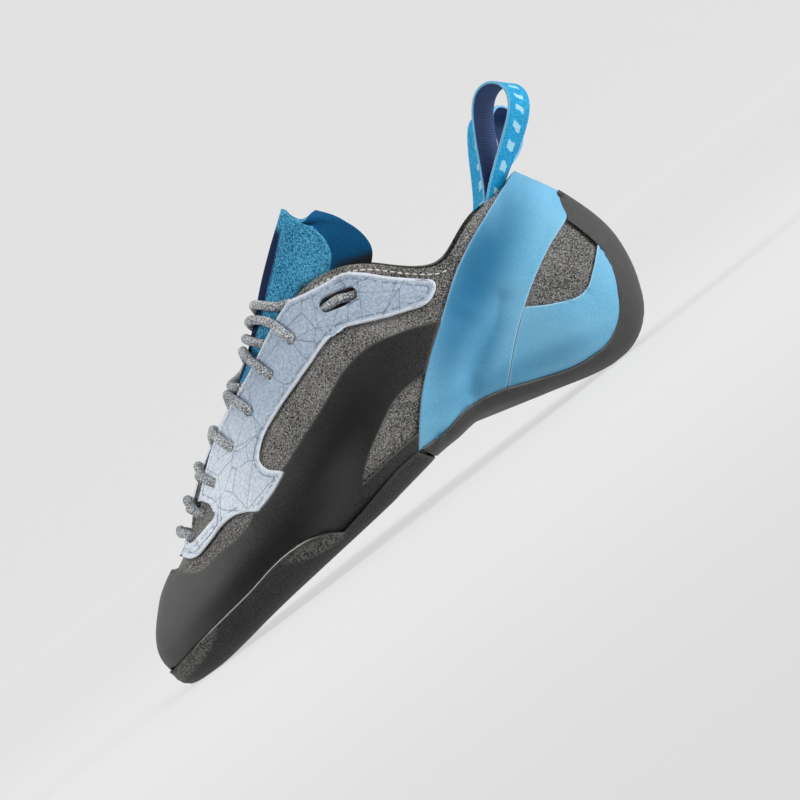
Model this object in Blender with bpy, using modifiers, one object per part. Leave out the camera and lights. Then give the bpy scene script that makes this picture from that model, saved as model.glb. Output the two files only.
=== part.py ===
# Laced climbing shoe for the left foot: a hollow upper on an asymmetric, downturned last, with its rubber
# rands, half sole, tongue, lace and pull loops. +X is the toe, +Y the outer side, +Z up. The origin is on
# the floor under the flat spot of the heel.
import math
from collections import namedtuple

import bmesh
import bpy
import numpy as np
from mathutils import Vector

MM = 0.001
SHARP_ANGLE = math.radians(40)

# Driving dimensions, in metres
LENGTH = 0.235
BALL_WIDTH = 0.084
INSTEP_HEIGHT = 0.0955
HEEL_HEIGHT = 0.080
HEEL_SPOT = 0.030
TOE_SWING = 0.011
SWING_START = 0.085
SWING_END = 0.190
SWING_POWER = 1.5
GAP = 0.0003
INSOLE_GAP = 0.0012
UPPER_WALL = 0.0020
INSOLE_THICKNESS = 0.0020
EYESTAY_THICKNESS = 0.0013
STRAP_THICKNESS = 0.0015
CUP_THICKNESS = 0.0013
TOE_RUBBER_THICKNESS = 0.0018
HEEL_RUBBER_THICKNESS = 0.0030
OUTSOLE_THICKNESS = 0.0045
BAND_FOOT = 0.002
BAND_TOP = 0.010
BAND_SHARE = 0.66
LACE_RADIUS = 0.0019
LACE_LIFT = 0.0006
LACE_LEAVES = 0.35
LACE_STEP = 0.5
TONGUE_CLEAR = 0.0008
EYELET_RADIUS = 0.0021
TAPE_WIDTH = 0.0125
TAPE_THICKNESS = 0.0012
LOOP_LENGTH = 0.0385
LOOP_OPENING = 0.017
LOOP_FOOT = 0.0008
LOOP_INSET = 0.0009
LOOP_SEAT = 0.0009
LOOP_TURN = math.radians(50)
LOOP_TURN_LIFT = 0.6
LOOP_FULLNESS = 0.6
LOOP_SPAN = 1.1
LOOP_STEPS = 20

# Underside of the last along the foot: distance from the back of the heel and height over the floor, in mm
Camber = namedtuple("Camber", "x height")
CAMBER = (
    Camber(0, 11.0),
    Camber(14, 4.6),
    Camber(30, 2.8),
    Camber(53, 7.9),
    Camber(76, 15.9),
    Camber(92, 17.5),
    Camber(112, 15.2),
    Camber(137, 13.2),
    Camber(160, 11.3),
    Camber(185, 8.4),
    Camber(202, 5.8),
    Camber(217, 4.4),
    Camber(232, 5.4),
)

# Sections of the last, once round from the back of the heel, past the outer side and the toe tip, and home
# along the inner side. x is in percent of the length and bearing in degrees from the toe direction. rise is
# the feather edge's height over the camber in mm. feather, wide, shoulder and rim are distances out from the
# spine, in percent of half the ball width. wide_up and shoulder_up are percent of the way from the feather
# edge to the rim.
Section = namedtuple("Section", "x bearing rise feather wide wide_up shoulder shoulder_up rim rim_height")
SECTIONS = (
    Section(12.8, 180, 3.4, 38.0, 65.0, 40.0, 53.0, 72.0, 29.5, 1.000 * HEEL_HEIGHT),
    Section(12.8, 135, 3.4, 42.0, 64.5, 36.0, 54.0, 71.0, 32.0, 0.992 * HEEL_HEIGHT),
    Section(12.8, 90, 3.8, 45.0, 64.0, 32.0, 56.0, 72.0, 38.0, 0.975 * HEEL_HEIGHT),
    Section(24.7, 90, 3.6, 50.0, 70.0, 34.0, 66.0, 72.0, 57.0, 0.888 * HEEL_HEIGHT),
    Section(36.2, 90, 3.0, 60.0, 79.0, 24.0, 71.0, 60.0, 52.0, 0.945 * INSTEP_HEIGHT),
    Section(47.7, 90, 2.8, 77.0, 96.0, 21.0, 75.0, 66.0, 30.0, 0.953 * INSTEP_HEIGHT),
    Section(59.6, 90, 2.6, 95.5, 110.0, 22.0, 81.5, 64.0, 24.0, 0.840 * INSTEP_HEIGHT),
    Section(70.2, 90, 2.6, 100.5, 111.5, 25.0, 84.0, 64.0, 21.0, 0.718 * INSTEP_HEIGHT),
    Section(80.9, 90, 2.8, 87.0, 96.5, 30.0, 67.0, 72.0, 19.0, 0.520 * INSTEP_HEIGHT),
    Section(80.9, 60, 2.6, 79.0, 87.5, 26.0, 61.0, 72.0, 20.5, 0.490 * INSTEP_HEIGHT),
    Section(80.9, 35, 2.2, 85.5, 90.5, 22.0, 63.0, 69.0, 21.5, 0.465 * INSTEP_HEIGHT),
    Section(80.9, 15, 1.8, 93.5, 97.0, 19.0, 69.0, 67.5, 22.0, 0.450 * INSTEP_HEIGHT),
    Section(80.9, -5, 1.6, 97.0, 100.0, 17.0, 72.5, 67.0, 22.5, 0.443 * INSTEP_HEIGHT),
    Section(80.9, -25, 1.8, 93.5, 98.0, 19.0, 72.0, 67.0, 22.0, 0.453 * INSTEP_HEIGHT),
    Section(80.9, -50, 2.2, 75.0, 80.0, 23.0, 62.0, 69.0, 20.5, 0.482 * INSTEP_HEIGHT),
    Section(80.9, -70, 2.6, 64.0, 69.5, 26.0, 57.0, 72.0, 19.0, 0.518 * INSTEP_HEIGHT),
    Section(80.9, -90, 2.8, 60.0, 67.0, 28.0, 55.0, 72.0, 18.0, 0.548 * INSTEP_HEIGHT),
    Section(70.2, -90, 2.8, 68.5, 79.0, 26.0, 59.0, 66.0, 19.5, 0.728 * INSTEP_HEIGHT),
    Section(59.6, -90, 3.0, 67.5, 82.0, 25.0, 63.0, 65.0, 23.5, 0.848 * INSTEP_HEIGHT),
    Section(47.7, -90, 4.2, 56.0, 76.5, 26.0, 64.5, 66.0, 28.5, 0.963 * INSTEP_HEIGHT),
    Section(36.2, -90, 4.8, 48.0, 71.0, 29.0, 66.0, 61.0, 51.0, 0.956 * INSTEP_HEIGHT),
    Section(24.7, -90, 4.4, 45.0, 67.0, 35.0, 64.5, 72.0, 56.5, 0.900 * HEEL_HEIGHT),
    Section(12.8, -90, 3.8, 44.0, 63.5, 33.0, 55.5, 72.0, 38.0, 0.985 * HEEL_HEIGHT),
    Section(12.8, -135, 3.4, 42.0, 64.5, 36.0, 54.0, 71.0, 32.0, 0.995 * HEEL_HEIGHT),
)
ROWS = len(SECTIONS)
TREAD_OUT = 0.55
TREAD_RISE = 0.2

# Sides of a sheet on which a wall can be built
INWARD, ON_BOTH_SIDES, OUTWARD = -1, 0, 1

# Levels of a section, from the spine under the foot to the rim of the opening
SPINE, TREAD, FEATHER, WIDE, SHOULDER, RIM = range(6)
STEPS_ROUND = (3, 3, 2, 2, 2, 2, 2, 2, 2, 2, 1, 1)
LEVELS_UP = (0.0, 1.0, 1.5, 2.0, 2.4, 3.0, 3.5, 4.0, 4.5, 5.0)
UPPER_START = 1.5
SEARCH_ROUND = 240
SEARCH_UP = 120
NORMAL_STEP = 0.02
INSOLE_LEVELS = (0.0, 1.0, 1.5, 1.85)

# Panel borders as seen from the side: distance from the back of the heel and height over the floor, in mm.
# A panel runs past the shoe's own edge where its outline is wider than the shoe.
Border = namedtuple("Border", "x z corner")


def smooth(x, z):
    return Border(x, z, False)


def corner(x, z):
    return Border(x, z, True)


EYESTAY_BORDER = (
    corner(116, 99),
    corner(112.4, 93.4),
    smooth(104, 91.0),
    smooth(95, 89.4),
    smooth(87, 86.4),
    smooth(73.5, 73.6),
    smooth(66.4, 66.0),
    smooth(69.5, 60.6),
    smooth(81.4, 63.6),
    smooth(104.5, 72.8),
    smooth(122.6, 71.0),
    smooth(140.2, 64.1),
    smooth(156.5, 55.8),
    smooth(158.5, 49.8),
    corner(152.8, 43.9),
    smooth(161, 40.4),
    corner(169.7, 37.9),
    smooth(175, 41.4),
    smooth(181, 42.4),
    smooth(192, 39.8),
    smooth(199.7, 38.6),
    smooth(204, 41.4),
    corner(208, 45),
    corner(208, 62),
    corner(160, 95),
)
STRAP_BORDER = (
    corner(8, 86),
    corner(15.6, 80.4),
    smooth(30.7, 75.1),
    smooth(53.9, 65.4),
    smooth(72.4, 53.0),
    smooth(87.4, 42.2),
    smooth(99.4, 30.6),
    corner(108.7, 19.2),
    smooth(97, 18.5),
    smooth(84, 20.6),
    corner(68.4, 17.6),
    smooth(51.1, 33.3),
    smooth(26.8, 48.5),
    corner(10.9, 54.3),
    smooth(9.6, 60.2),
    corner(7.4, 64.0),
    corner(-8, 66),
)
HEEL_RUBBER_BORDER = (
    corner(-8, 67),
    corner(9.0, 66.5),
    smooth(12.4, 58),
    smooth(10.2, 49),
    smooth(8.2, 36),
    smooth(12, 23),
    smooth(24, 9.2),
    smooth(40, 7.4),
    smooth(60, 13.8),
    smooth(82, 22.0),
    smooth(97, 19.8),
    corner(107.4, 19.7),
    corner(104.4, 11.6),
    corner(104, -6),
    corner(-8, -6),
)
OUTSOLE_BORDER = (
    corner(104.4, 11.6),
    corner(109.2, 19.0),
    smooth(120, 18.2),
    smooth(135, 14.9),
    corner(149, 12.2),
    smooth(154, 15.8),
    smooth(166, 19.2),
    smooth(194.8, 15.5),
    smooth(213, 13.0),
    smooth(232, 9.4),
    corner(246, 7.4),
    corner(246, -6),
    corner(104, -6),
)
TOE_RUBBER_BORDER = (
    corner(214, 44),
    smooth(207.6, 37.4),
    smooth(202, 33.4),
    smooth(188.6, 34.3),
    smooth(176, 36.0),
    corner(170.6, 39.2),
    smooth(152.0, 45.2),
    smooth(130.5, 53.0),
    smooth(104, 61.6),
    smooth(88, 58.9),
    corner(72.4, 53.0),
    corner(68, 50),
    corner(98, 26),
    corner(108.9, 20.4),
    corner(113, 12),
    corner(244, -4),
    corner(244, 44),
)
SIDE_WINDOW_BORDER = (
    corner(86, 40.4),
    smooth(101, 40.7),
    smooth(114, 35.4),
    smooth(129, 26.0),
    corner(132.2, 22.4),
    smooth(117, 24.1),
    corner(98, 24.7),
)
HEEL_CUP_BORDER = (
    corner(46, 38.4),
    smooth(34, 31.4),
    smooth(24.2, 28.4),
    smooth(16, 33),
    corner(6, 42),
    corner(-6, 36),
    corner(-6, 2),
    corner(74, 2),
    corner(74, 20),
)
PANEL_REACH = 0.08

# Punched holes of the eyestay in the side view, in mm, and the long slot at its top
Eyelet = namedtuple("Eyelet", "x z")
EYELETS = (
    Eyelet(187.0, 49.0),
    Eyelet(176.5, 55.0),
    Eyelet(162.9, 61.6),
    Eyelet(149.5, 68.3),
    Eyelet(135.2, 74.5),
    Eyelet(120.2, 80.1),
)
SLOT_ENDS = (Eyelet(93.0, 80.6), Eyelet(103.0, 83.0))
HOLE_SIDES = 6
HOLE_DEPTH = 0.012

# Tongue, from its free top to the toe end of the throat: its ridge in the side view, the half width of its
# arch, and how deep the arch reaches down each side, in mm
Fold = namedtuple("Fold", "x z half_width depth")
TONGUE = (
    Fold(95.0, 122.4, 19.0, 36.0),
    Fold(106.0, 113.6, 15.5, 30.0),
    Fold(117.5, 104.4, 9.6, 24.0),
    Fold(128.0, 95.8, 8.4, 20.0),
    Fold(139.0, 87.0, 7.6, 17.0),
    Fold(152.0, 77.0, 7.0, 14.0),
    Fold(165.0, 66.6, 6.5, 12.0),
    Fold(178.0, 56.0, 6.2, 9.0),
    Fold(188.0, 47.0, 6.2, 6.0),
    Fold(197.0, 38.5, 6.0, 4.0),
)
TONGUE_THICKNESS = 0.0022
TONGUE_LEAN = math.radians(37)
TONGUE_TRIM = 0.013
TRIM_POWER = 1.5
TONGUE_STEPS_LONG = 14
TONGUE_STEPS_ROUND = 10

# Pull loops: where they stand on the collar, counted in sections, and how far each one leans back and falls
# to its own side, in degrees
Loop = namedtuple("Loop", "side place lean splay")
OUTER_LOOP = Loop(1, 1.25, 40, 0)
INNER_LOOP = Loop(-1, 1.6, 40, 36)

BLACK_RUBBER = ((0.030, 0.030, 0.031), 0.60)
BLUE_RUBBER = ((0.160, 0.400, 0.640), 0.45)
GREY_SUEDE = ((0.130, 0.128, 0.122), 0.85)
PALE_PANEL = ((0.580, 0.670, 0.800), 0.60)
BLUE_SUEDE = ((0.020, 0.210, 0.490), 0.90)
GREY_CORD = ((0.330, 0.340, 0.350), 0.85)
CYAN_TAPE = ((0.010, 0.370, 0.660), 0.60)
BOARD = ((0.300, 0.300, 0.290), 0.90)


def clear_scene():
    for old in list(bpy.data.objects):
        bpy.data.objects.remove(old, do_unlink=True)


def collection(name):
    made = bpy.data.collections.new(name)
    bpy.context.scene.collection.children.link(made)
    return made


def finish(name, colour, roughness):
    made = bpy.data.materials.new(name)
    made.use_nodes = True
    shader = made.node_tree.nodes["Principled BSDF"]
    shader.inputs["Base Color"].default_value = (*colour, 1.0)
    shader.inputs["Roughness"].default_value = roughness
    shader.inputs["Metallic"].default_value = 0.0
    return made


def add_part(name, mesh, look):
    made = bpy.data.objects.new(name, mesh)
    mesh.materials.append(finish(name, *look))
    mesh.shade_smooth()
    mesh.set_sharp_from_angle(angle=SHARP_ANGLE)
    shoe.objects.link(made)
    return made


def hermite(before, start, end, after, share):
    # Smooth curve from start to end whose slopes follow the neighbouring points by distance.
    step = np.linalg.norm(end - start, axis=-1, keepdims=True) + 1e-9
    step_before = np.linalg.norm(start - before, axis=-1, keepdims=True) + 1e-9
    step_after = np.linalg.norm(after - end, axis=-1, keepdims=True) + 1e-9
    chord = (end - start) / step
    leave = ((start - before) / step_before * step + chord * step_before) / (step + step_before) * step
    arrive = (chord * step_after + (after - end) / step_after * step) / (step + step_after) * step
    f = share[..., None]
    return (
        start * (2 * f**3 - 3 * f**2 + 1)
        + leave * (f**3 - 2 * f**2 + f)
        + end * (3 * f**2 - 2 * f**3)
        + arrive * (f**3 - f**2)
    )


def along(points, place):
    # Point at a fractional index on an open smooth curve; its ends run straight on.
    points = np.asarray(points, float)
    padded = np.concatenate([[2 * points[0] - points[1]], points, [2 * points[-1] - points[-2]]])
    place = np.asarray(place, float)
    index = np.clip(np.floor(place).astype(int), 0, len(points) - 2)
    rows = [padded[index + k] for k in range(4)]
    return hermite(*rows, place - index)


def camber(x):
    # Height of the underside of the last at a distance from the back of the heel, in metres.
    points = np.array(CAMBER) * MM
    place = np.interp(x, points[:, 0], np.arange(len(points)))
    return along(points, place)[..., 1]


def toe_swing(x):
    # Sideways drift of the spine towards the big toe.
    share = np.clip((x - SWING_START) / (SWING_END - SWING_START), 0, 1)
    return -TOE_SWING * share**SWING_POWER


def section_points(row):
    # The six points of one section, by level.
    heading = math.radians(row.bearing)
    foot = np.array([row.x / 100 * LENGTH, 0.0])
    foot[1] = toe_swing(foot[0])
    out = np.array([math.cos(heading), math.sin(heading)])
    half = BALL_WIDTH / 2 / 100
    plan = [foot + out * share * half for share in (
        0, row.feather * TREAD_OUT, row.feather, row.wide, row.shoulder, row.rim)]
    feather_height = camber(plan[FEATHER][0]) + row.rise * MM
    wall = row.rim_height - feather_height
    heights = (
        camber(plan[SPINE][0]),
        camber(plan[TREAD][0]) + row.rise * MM * TREAD_RISE,
        feather_height,
        feather_height + wall * row.wide_up / 100,
        feather_height + wall * row.shoulder_up / 100,
        row.rim_height,
    )
    return [(p[0] - HEEL_SPOT, p[1], z) for p, z in zip(plan, heights)]


def last_points(round_place, up_place):
    # Points of the last's surface. round_place counts sections from the back of the heel, up_place levels.
    table = np.array([section_points(row) for row in SECTIONS])
    index = np.floor(round_place).astype(int)
    share = round_place - index
    around = [table[(index + k) % ROWS] for k in (-1, 0, 1, 2)]
    levels = hermite(*around, np.repeat(share[:, None], RIM + 1, axis=1))
    spine = around[1][:, SPINE] * (1 - share[:, None]) + around[2][:, SPINE] * share[:, None]
    levels[:, SPINE] = spine
    ends = [2 * levels[:, :1] - levels[:, 1:2], levels, 2 * levels[:, -1:] - levels[:, -2:-1]]
    levels = np.concatenate(ends, axis=1)
    step = np.clip(np.floor(up_place).astype(int), 0, RIM - 1)
    pick = np.arange(len(step))
    return hermite(*[levels[pick, step + k] for k in range(4)], up_place - step)


def places_round():
    # Fractional section numbers once round the shoe, the same on both sides.
    half = [row + k / steps for row, steps in enumerate(STEPS_ROUND) for k in range(steps)]
    return np.array(half + [ROWS / 2] + [ROWS - place for place in half[::-1]])


def last_sheet(name, levels, offset):
    # Sheet over the last between the given levels, moved out along its normals. Every sheet is split into the
    # same triangles, so that layers stay apart.
    rounds = places_round()
    sheet = bmesh.new()
    bmesh.ops.create_grid(sheet, x_segments=len(rounds) - 1, y_segments=len(levels) - 1, size=0.5)
    columns = [round((v.co.x + 0.5) * (len(rounds) - 1)) for v in sheet.verts]
    rows = [round((v.co.y + 0.5) * (len(levels) - 1)) for v in sheet.verts]
    for vert, point in zip(sheet.verts, last_points(rounds[columns], np.array(levels)[rows])):
        vert.co = point
    bmesh.ops.remove_doubles(sheet, verts=sheet.verts, dist=1e-6)
    bmesh.ops.triangulate(sheet, faces=sheet.faces, quad_method="FIXED")
    bmesh.ops.recalc_face_normals(sheet, faces=sheet.faces)
    outermost = max(sheet.faces, key=lambda face: face.calc_center_median().y)
    if outermost.normal.y < 0:
        bmesh.ops.reverse_faces(sheet, faces=sheet.faces)
    sheet.normal_update()
    moves = [vert.normal * offset for vert in sheet.verts]
    for vert, move in zip(sheet.verts, moves):
        vert.co += move
    mesh = bpy.data.meshes.new(name)
    sheet.to_mesh(mesh)
    sheet.free()
    return mesh


def solidify(part, thickness, direction):
    wall = part.modifiers.new("wall", "SOLIDIFY")
    wall.thickness = thickness
    wall.offset = direction
    return wall


def thin_upwards(part, wall):
    # The sole's rubber thins out from the feather edge up its side band.
    group = part.vertex_groups.new(name="thickness")
    heights = np.array([vert.co.z for vert in part.data.vertices])
    plan = np.array([vert.co.x for vert in part.data.vertices]) + HEEL_SPOT
    climb = np.clip((heights - camber(plan) - BAND_FOOT) / (BAND_TOP - BAND_FOOT), 0, 1)
    for index, share in enumerate(climb):
        group.add([index], 1 - (1 - BAND_SHARE) * float(share), "REPLACE")
    wall.vertex_group = group.name
    wall.use_even_offset = True


def cut(part, cutter, operation="DIFFERENCE"):
    step = part.modifiers.new(cutter.name, "BOOLEAN")
    step.operation = operation
    step.object = cutter


def as_cutter(name, mesh):
    made = bpy.data.objects.new(name, mesh)
    made.hide_render = True
    made.display_type = "WIRE"
    cutters.objects.link(made)
    return made


def curve_to_mesh(curve_object):
    # Closed mesh of a curve, in world space; the curve itself is removed.
    bpy.context.view_layer.update()
    mesh = bpy.data.meshes.new_from_object(curve_object.evaluated_get(bpy.context.evaluated_depsgraph_get()))
    mesh.transform(curve_object.matrix_world)
    bpy.data.objects.remove(curve_object, do_unlink=True)
    weld = bmesh.new()
    weld.from_mesh(mesh)
    bmesh.ops.remove_doubles(weld, verts=weld.verts, dist=1e-6)
    bmesh.ops.recalc_face_normals(weld, faces=weld.faces)
    weld.to_mesh(mesh)
    weld.free()
    return mesh


def panel_cutter(name, border, low_y, high_y, grow=0.0):
    # Prism of a side-view border, from one y to another, grown all round where asked.
    outline = bpy.data.curves.new(name, "CURVE")
    outline.dimensions = "2D"
    outline.fill_mode = "BOTH"
    outline.resolution_u = 3
    outline.extrude = (high_y - low_y) / 2
    outline.offset = grow
    spline = outline.splines.new("BEZIER")
    spline.bezier_points.add(len(border) - 1)
    spline.use_cyclic_u = True
    for point, place in zip(spline.bezier_points, border):
        point.co = (place.x * MM - HEEL_SPOT, place.z * MM, 0)
        kind = "VECTOR" if place.corner else "AUTO"
        point.handle_left_type = kind
        point.handle_right_type = kind
    helper = bpy.data.objects.new(name, outline)
    helper.rotation_euler = (math.radians(90), 0, 0)
    helper.location.y = (low_y + high_y) / 2
    cutters.objects.link(helper)
    return as_cutter(name, curve_to_mesh(helper))


def overlay(name, look, thickness, keep, *neighbours, band=False):
    # Panel cut out of a layer that lies just over the upper.
    part = add_part(name, last_sheet(name, LEVELS_UP, GAP), look)
    wall = solidify(part, thickness, OUTWARD)
    if band:
        thin_upwards(part, wall)
    cut(part, keep, "INTERSECT")
    for neighbour in neighbours:
        cut(part, neighbour)
    return part


def side_places(side):
    # Fractional section numbers along one side of the shoe, from heel to toe.
    rounds = np.linspace(0.5, ROWS / 2 - 0.5, SEARCH_ROUND)
    return rounds if side > 0 else ROWS - rounds


def on_last(round_place, up_place, side):
    # Point of the last and its outward normal.
    step = NORMAL_STEP
    here = [np.array([round_place]), np.array([up_place])]
    middle = last_points(*here)[0]
    across = last_points(here[0] + step, here[1])[0] - last_points(here[0] - step, here[1])[0]
    upward = middle - last_points(here[0], here[1] - step)[0]
    normal = Vector(np.cross(across, upward)).normalized()
    if normal.y * side < 0:
        normal.negate()
    return Vector(middle), normal


def find_on_last(x, z, side):
    # The point that shows at (x, z) in the side view, with its normal.
    axes = np.meshgrid(side_places(side), np.linspace(WIDE, RIM, SEARCH_UP))
    rounds, ups = (axis.ravel() for axis in axes)
    points = last_points(rounds, ups)
    best = np.argmin(np.hypot(points[:, 0] - x, points[:, 2] - z))
    return on_last(rounds[best], ups[best], side)


def find_on_throat(x, side):
    # The point of the throat's edge at x, with its normal.
    rounds = side_places(side)
    points = last_points(rounds, np.full(len(rounds), float(RIM)))
    best = np.argmin(abs(points[:, 0] - x))
    return on_last(rounds[best], float(RIM), side)


def hole_cutter(name, ends, side):
    # Pin through the wall at one hole, drawn out to the second end where the hole is a slot.
    pin = bmesh.new()
    places = [find_on_last(x * MM - HEEL_SPOT, z * MM, side) for x, z in ends]
    place, normal = places[0]
    turn = normal.to_track_quat("Z", "Y").to_matrix().to_4x4()
    turn.translation = place
    bmesh.ops.create_cone(pin, cap_ends=True, segments=HOLE_SIDES, radius1=EYELET_RADIUS,
                          radius2=EYELET_RADIUS, depth=HOLE_DEPTH, matrix=turn)
    stretch = places[-1][0] - place
    far_side = [vert for vert in pin.verts if (vert.co - place).dot(stretch) > 0]
    bmesh.ops.translate(pin, verts=far_side, vec=stretch)
    mesh = bpy.data.meshes.new(name)
    pin.to_mesh(mesh)
    pin.free()
    return as_cutter(name, mesh)


def floor_cutter():
    # Block whose top is the floor: it levels the flat spots of heel and forefoot.
    block = bmesh.new()
    bmesh.ops.create_cube(block, size=1.0)
    bmesh.ops.translate(block, verts=block.verts, vec=(0, 0, -0.5))
    mesh = bpy.data.meshes.new("floor_level")
    block.to_mesh(mesh)
    block.free()
    return as_cutter("floor_level", mesh)


def tongue_point(long_share, turn):
    # Point of the tongue's outer face. turn runs from -1 at the inner edge over the ridge to 1 at the outer.
    place = long_share * (len(TONGUE) - 1)
    ridge_x, ridge_z, half_width, depth = along(np.array(TONGUE) * MM, place)
    angle = turn * math.pi / 2
    drop = depth * (1 - math.cos(angle))
    slide = TONGUE_TRIM * max(turn, 0.0) ** TRIM_POWER * (1 - long_share) ** 2
    x = ridge_x - drop * math.sin(TONGUE_LEAN) + slide * math.cos(TONGUE_LEAN)
    z = ridge_z - drop * math.cos(TONGUE_LEAN) - slide * math.sin(TONGUE_LEAN)
    return Vector((x - HEEL_SPOT, toe_swing(ridge_x) + half_width * math.sin(angle), z))


def make_tongue():
    sheet = bmesh.new()
    bmesh.ops.create_grid(sheet, x_segments=TONGUE_STEPS_LONG, y_segments=TONGUE_STEPS_ROUND, size=0.5)
    for vert in sheet.verts:
        vert.co = tongue_point(vert.co.x + 0.5, vert.co.y * 2)
    bmesh.ops.recalc_face_normals(sheet, faces=sheet.faces)
    highest = max(sheet.faces, key=lambda face: face.calc_center_median().z)
    if highest.normal.z < 0:
        bmesh.ops.reverse_faces(sheet, faces=sheet.faces)
    mesh = bpy.data.meshes.new("tongue")
    sheet.to_mesh(mesh)
    sheet.free()
    solidify(add_part("tongue", mesh, BLUE_SUEDE), TONGUE_THICKNESS, INWARD)


def over_eyestay(place, normal):
    # Centre of the lace where it lies on the eyestay.
    return place + normal * (GAP + EYESTAY_THICKNESS + LACE_LIFT + LACE_RADIUS)


def lace_knee(index, side):
    # Where the lace stands over an eyelet.
    hole = EYELETS[index]
    return over_eyestay(*find_on_last(hole.x * MM - HEEL_SPOT, hole.z * MM, side))


def lace_crossing(index, side):
    # From over one edge of the throat, across the ridge of the tongue, to over the other edge.
    first, second = EYELETS[index], EYELETS[index + 1]
    ends = []
    for share, turn in ((LACE_LEAVES, side), (1 - LACE_LEAVES, -side)):
        x = (first.x + (second.x - first.x) * share) * MM - HEEL_SPOT
        ends.append(over_eyestay(*find_on_throat(x, turn)))
    middle = (ends[0] + ends[1]) / 2
    ridge = np.array(TONGUE) * MM
    top = np.interp(middle.x + HEEL_SPOT, ridge[:, 0], ridge[:, 1])
    middle.z = max(middle.z, top + LACE_RADIUS + TONGUE_CLEAR)
    return [ends[0], middle, ends[1]]


def lace_strand(name, first_side):
    # One end of the lace, from eyelet to eyelet and over the tongue each time.
    places = []
    side = first_side
    for index in range(len(EYELETS)):
        places.append(lace_knee(index, side))
        if index + 1 < len(EYELETS):
            places += lace_crossing(index, side)
        side = -side
    cord = bpy.data.curves.new(name, "CURVE")
    cord.dimensions = "3D"
    cord.bevel_depth = LACE_RADIUS
    cord.bevel_resolution = 1
    cord.use_fill_caps = True
    spline = cord.splines.new("POLY")
    route = along([tuple(place) for place in places], np.arange(0, len(places) - 1 + LACE_STEP / 2, LACE_STEP))
    spline.points.add(len(route) - 1)
    for point, place in zip(spline.points, route):
        point.co = (*place, 1.0)
    helper = bpy.data.objects.new(name, cord)
    cutters.objects.link(helper)
    return curve_to_mesh(helper)


def make_lace():
    lace = add_part("lace", lace_strand("lace", 1), GREY_CORD)
    cut(lace, as_cutter("lace_second_end", lace_strand("lace_second_end", -1)), "UNION")


def make_loop(name, loop):
    # Webbing loop that stands astride the collar at its back corner. It leans back, and towards its top it
    # turns its opening to the outer side.
    spots = loop.place + LOOP_SPAN * np.array([-0.5, 0.5])
    if loop.side < 0:
        spots = ROWS - spots
    back, front = (Vector(p) for p in last_points(spots, np.full(2, float(RIM))))
    lean, splay = math.radians(loop.lean), math.radians(loop.splay)
    upright = Vector((-math.sin(lean), 0, math.cos(lean)))
    rise = upright * math.cos(splay) + Vector((0, loop.side * math.sin(splay), 0))
    aside = Vector((-math.cos(lean), 0, -math.sin(lean)))
    away = aside.cross(rise) * loop.side
    foot_width = (front - back).normalized()
    foot_outward = upright.cross(foot_width) * loop.side
    top_outward = aside * math.cos(LOOP_TURN) + away * math.sin(LOOP_TURN)
    top_width = rise.cross(top_outward) * -loop.side
    base = (back + front) / 2 - foot_outward * LOOP_INSET + Vector((0, 0, LOOP_SEAT))
    tape = bmesh.new()
    bmesh.ops.create_grid(tape, x_segments=LOOP_STEPS, y_segments=1, size=0.5)
    for vert in tape.verts:
        angle = vert.co.x * 2 * math.pi
        lift = math.cos(angle / 2)
        waist = LOOP_OPENING / 2 * math.sin(angle) * lift**LOOP_FULLNESS + LOOP_FOOT * math.sin(angle / 2)
        turned = min(1.0, lift / LOOP_TURN_LIFT)
        outward = foot_outward.lerp(top_outward, turned).normalized()
        width = foot_width.lerp(top_width, turned).normalized()
        vert.co = base + outward * waist + rise * lift * LOOP_LENGTH + width * vert.co.y * TAPE_WIDTH
    bmesh.ops.recalc_face_normals(tape, faces=tape.faces)
    mesh = bpy.data.meshes.new(name)
    tape.to_mesh(mesh)
    tape.free()
    solidify(add_part(name, mesh, CYAN_TAPE), TAPE_THICKNESS, ON_BOTH_SIDES)


clear_scene()
shoe = collection("climbing_shoe")
cutters = collection("cutters")
both = (-PANEL_REACH, PANEL_REACH)
outer_side = (0.0, PANEL_REACH)
inner_side = (-PANEL_REACH, 0.0)

eyestay_area = panel_cutter("eyestay_area", EYESTAY_BORDER, *both)
strap_area = panel_cutter("strap_area", STRAP_BORDER, *both)
outsole_area = panel_cutter("outsole_area", OUTSOLE_BORDER, *both)
heel_area = panel_cutter("heel_area", HEEL_RUBBER_BORDER, *both)
toe_area = panel_cutter("toe_area", TOE_RUBBER_BORDER, *both)
eyestay_clear = panel_cutter("eyestay_clear", EYESTAY_BORDER, *both, GAP)
strap_clear = panel_cutter("strap_clear", STRAP_BORDER, *both, GAP)
outsole_clear = panel_cutter("outsole_clear", OUTSOLE_BORDER, *both, GAP)
heel_clear = panel_cutter("heel_clear", HEEL_RUBBER_BORDER, *both, GAP)
side_window = panel_cutter("side_window", SIDE_WINDOW_BORDER, *both)
outer_cup_area = panel_cutter("outer_cup_area", HEEL_CUP_BORDER, *outer_side)
inner_cup_area = panel_cutter("inner_cup_area", HEEL_CUP_BORDER, *inner_side)
floor_level = floor_cutter()
holes = [hole_cutter(f"eyelet_{side}_{k}", [hole], turn)
         for side, turn in (("outer", 1), ("inner", -1)) for k, hole in enumerate(EYELETS)]
holes += [hole_cutter(f"slot_{side}", SLOT_ENDS, turn) for side, turn in (("outer", 1), ("inner", -1))]

upper_levels = [level for level in LEVELS_UP if level >= UPPER_START]
upper = add_part("upper", last_sheet("upper", upper_levels, 0.0), GREY_SUEDE)
solidify(upper, UPPER_WALL, INWARD)
insole = add_part("insole", last_sheet("insole", INSOLE_LEVELS, -UPPER_WALL - INSOLE_GAP), BOARD)
solidify(insole, INSOLE_THICKNESS, INWARD)

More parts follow.
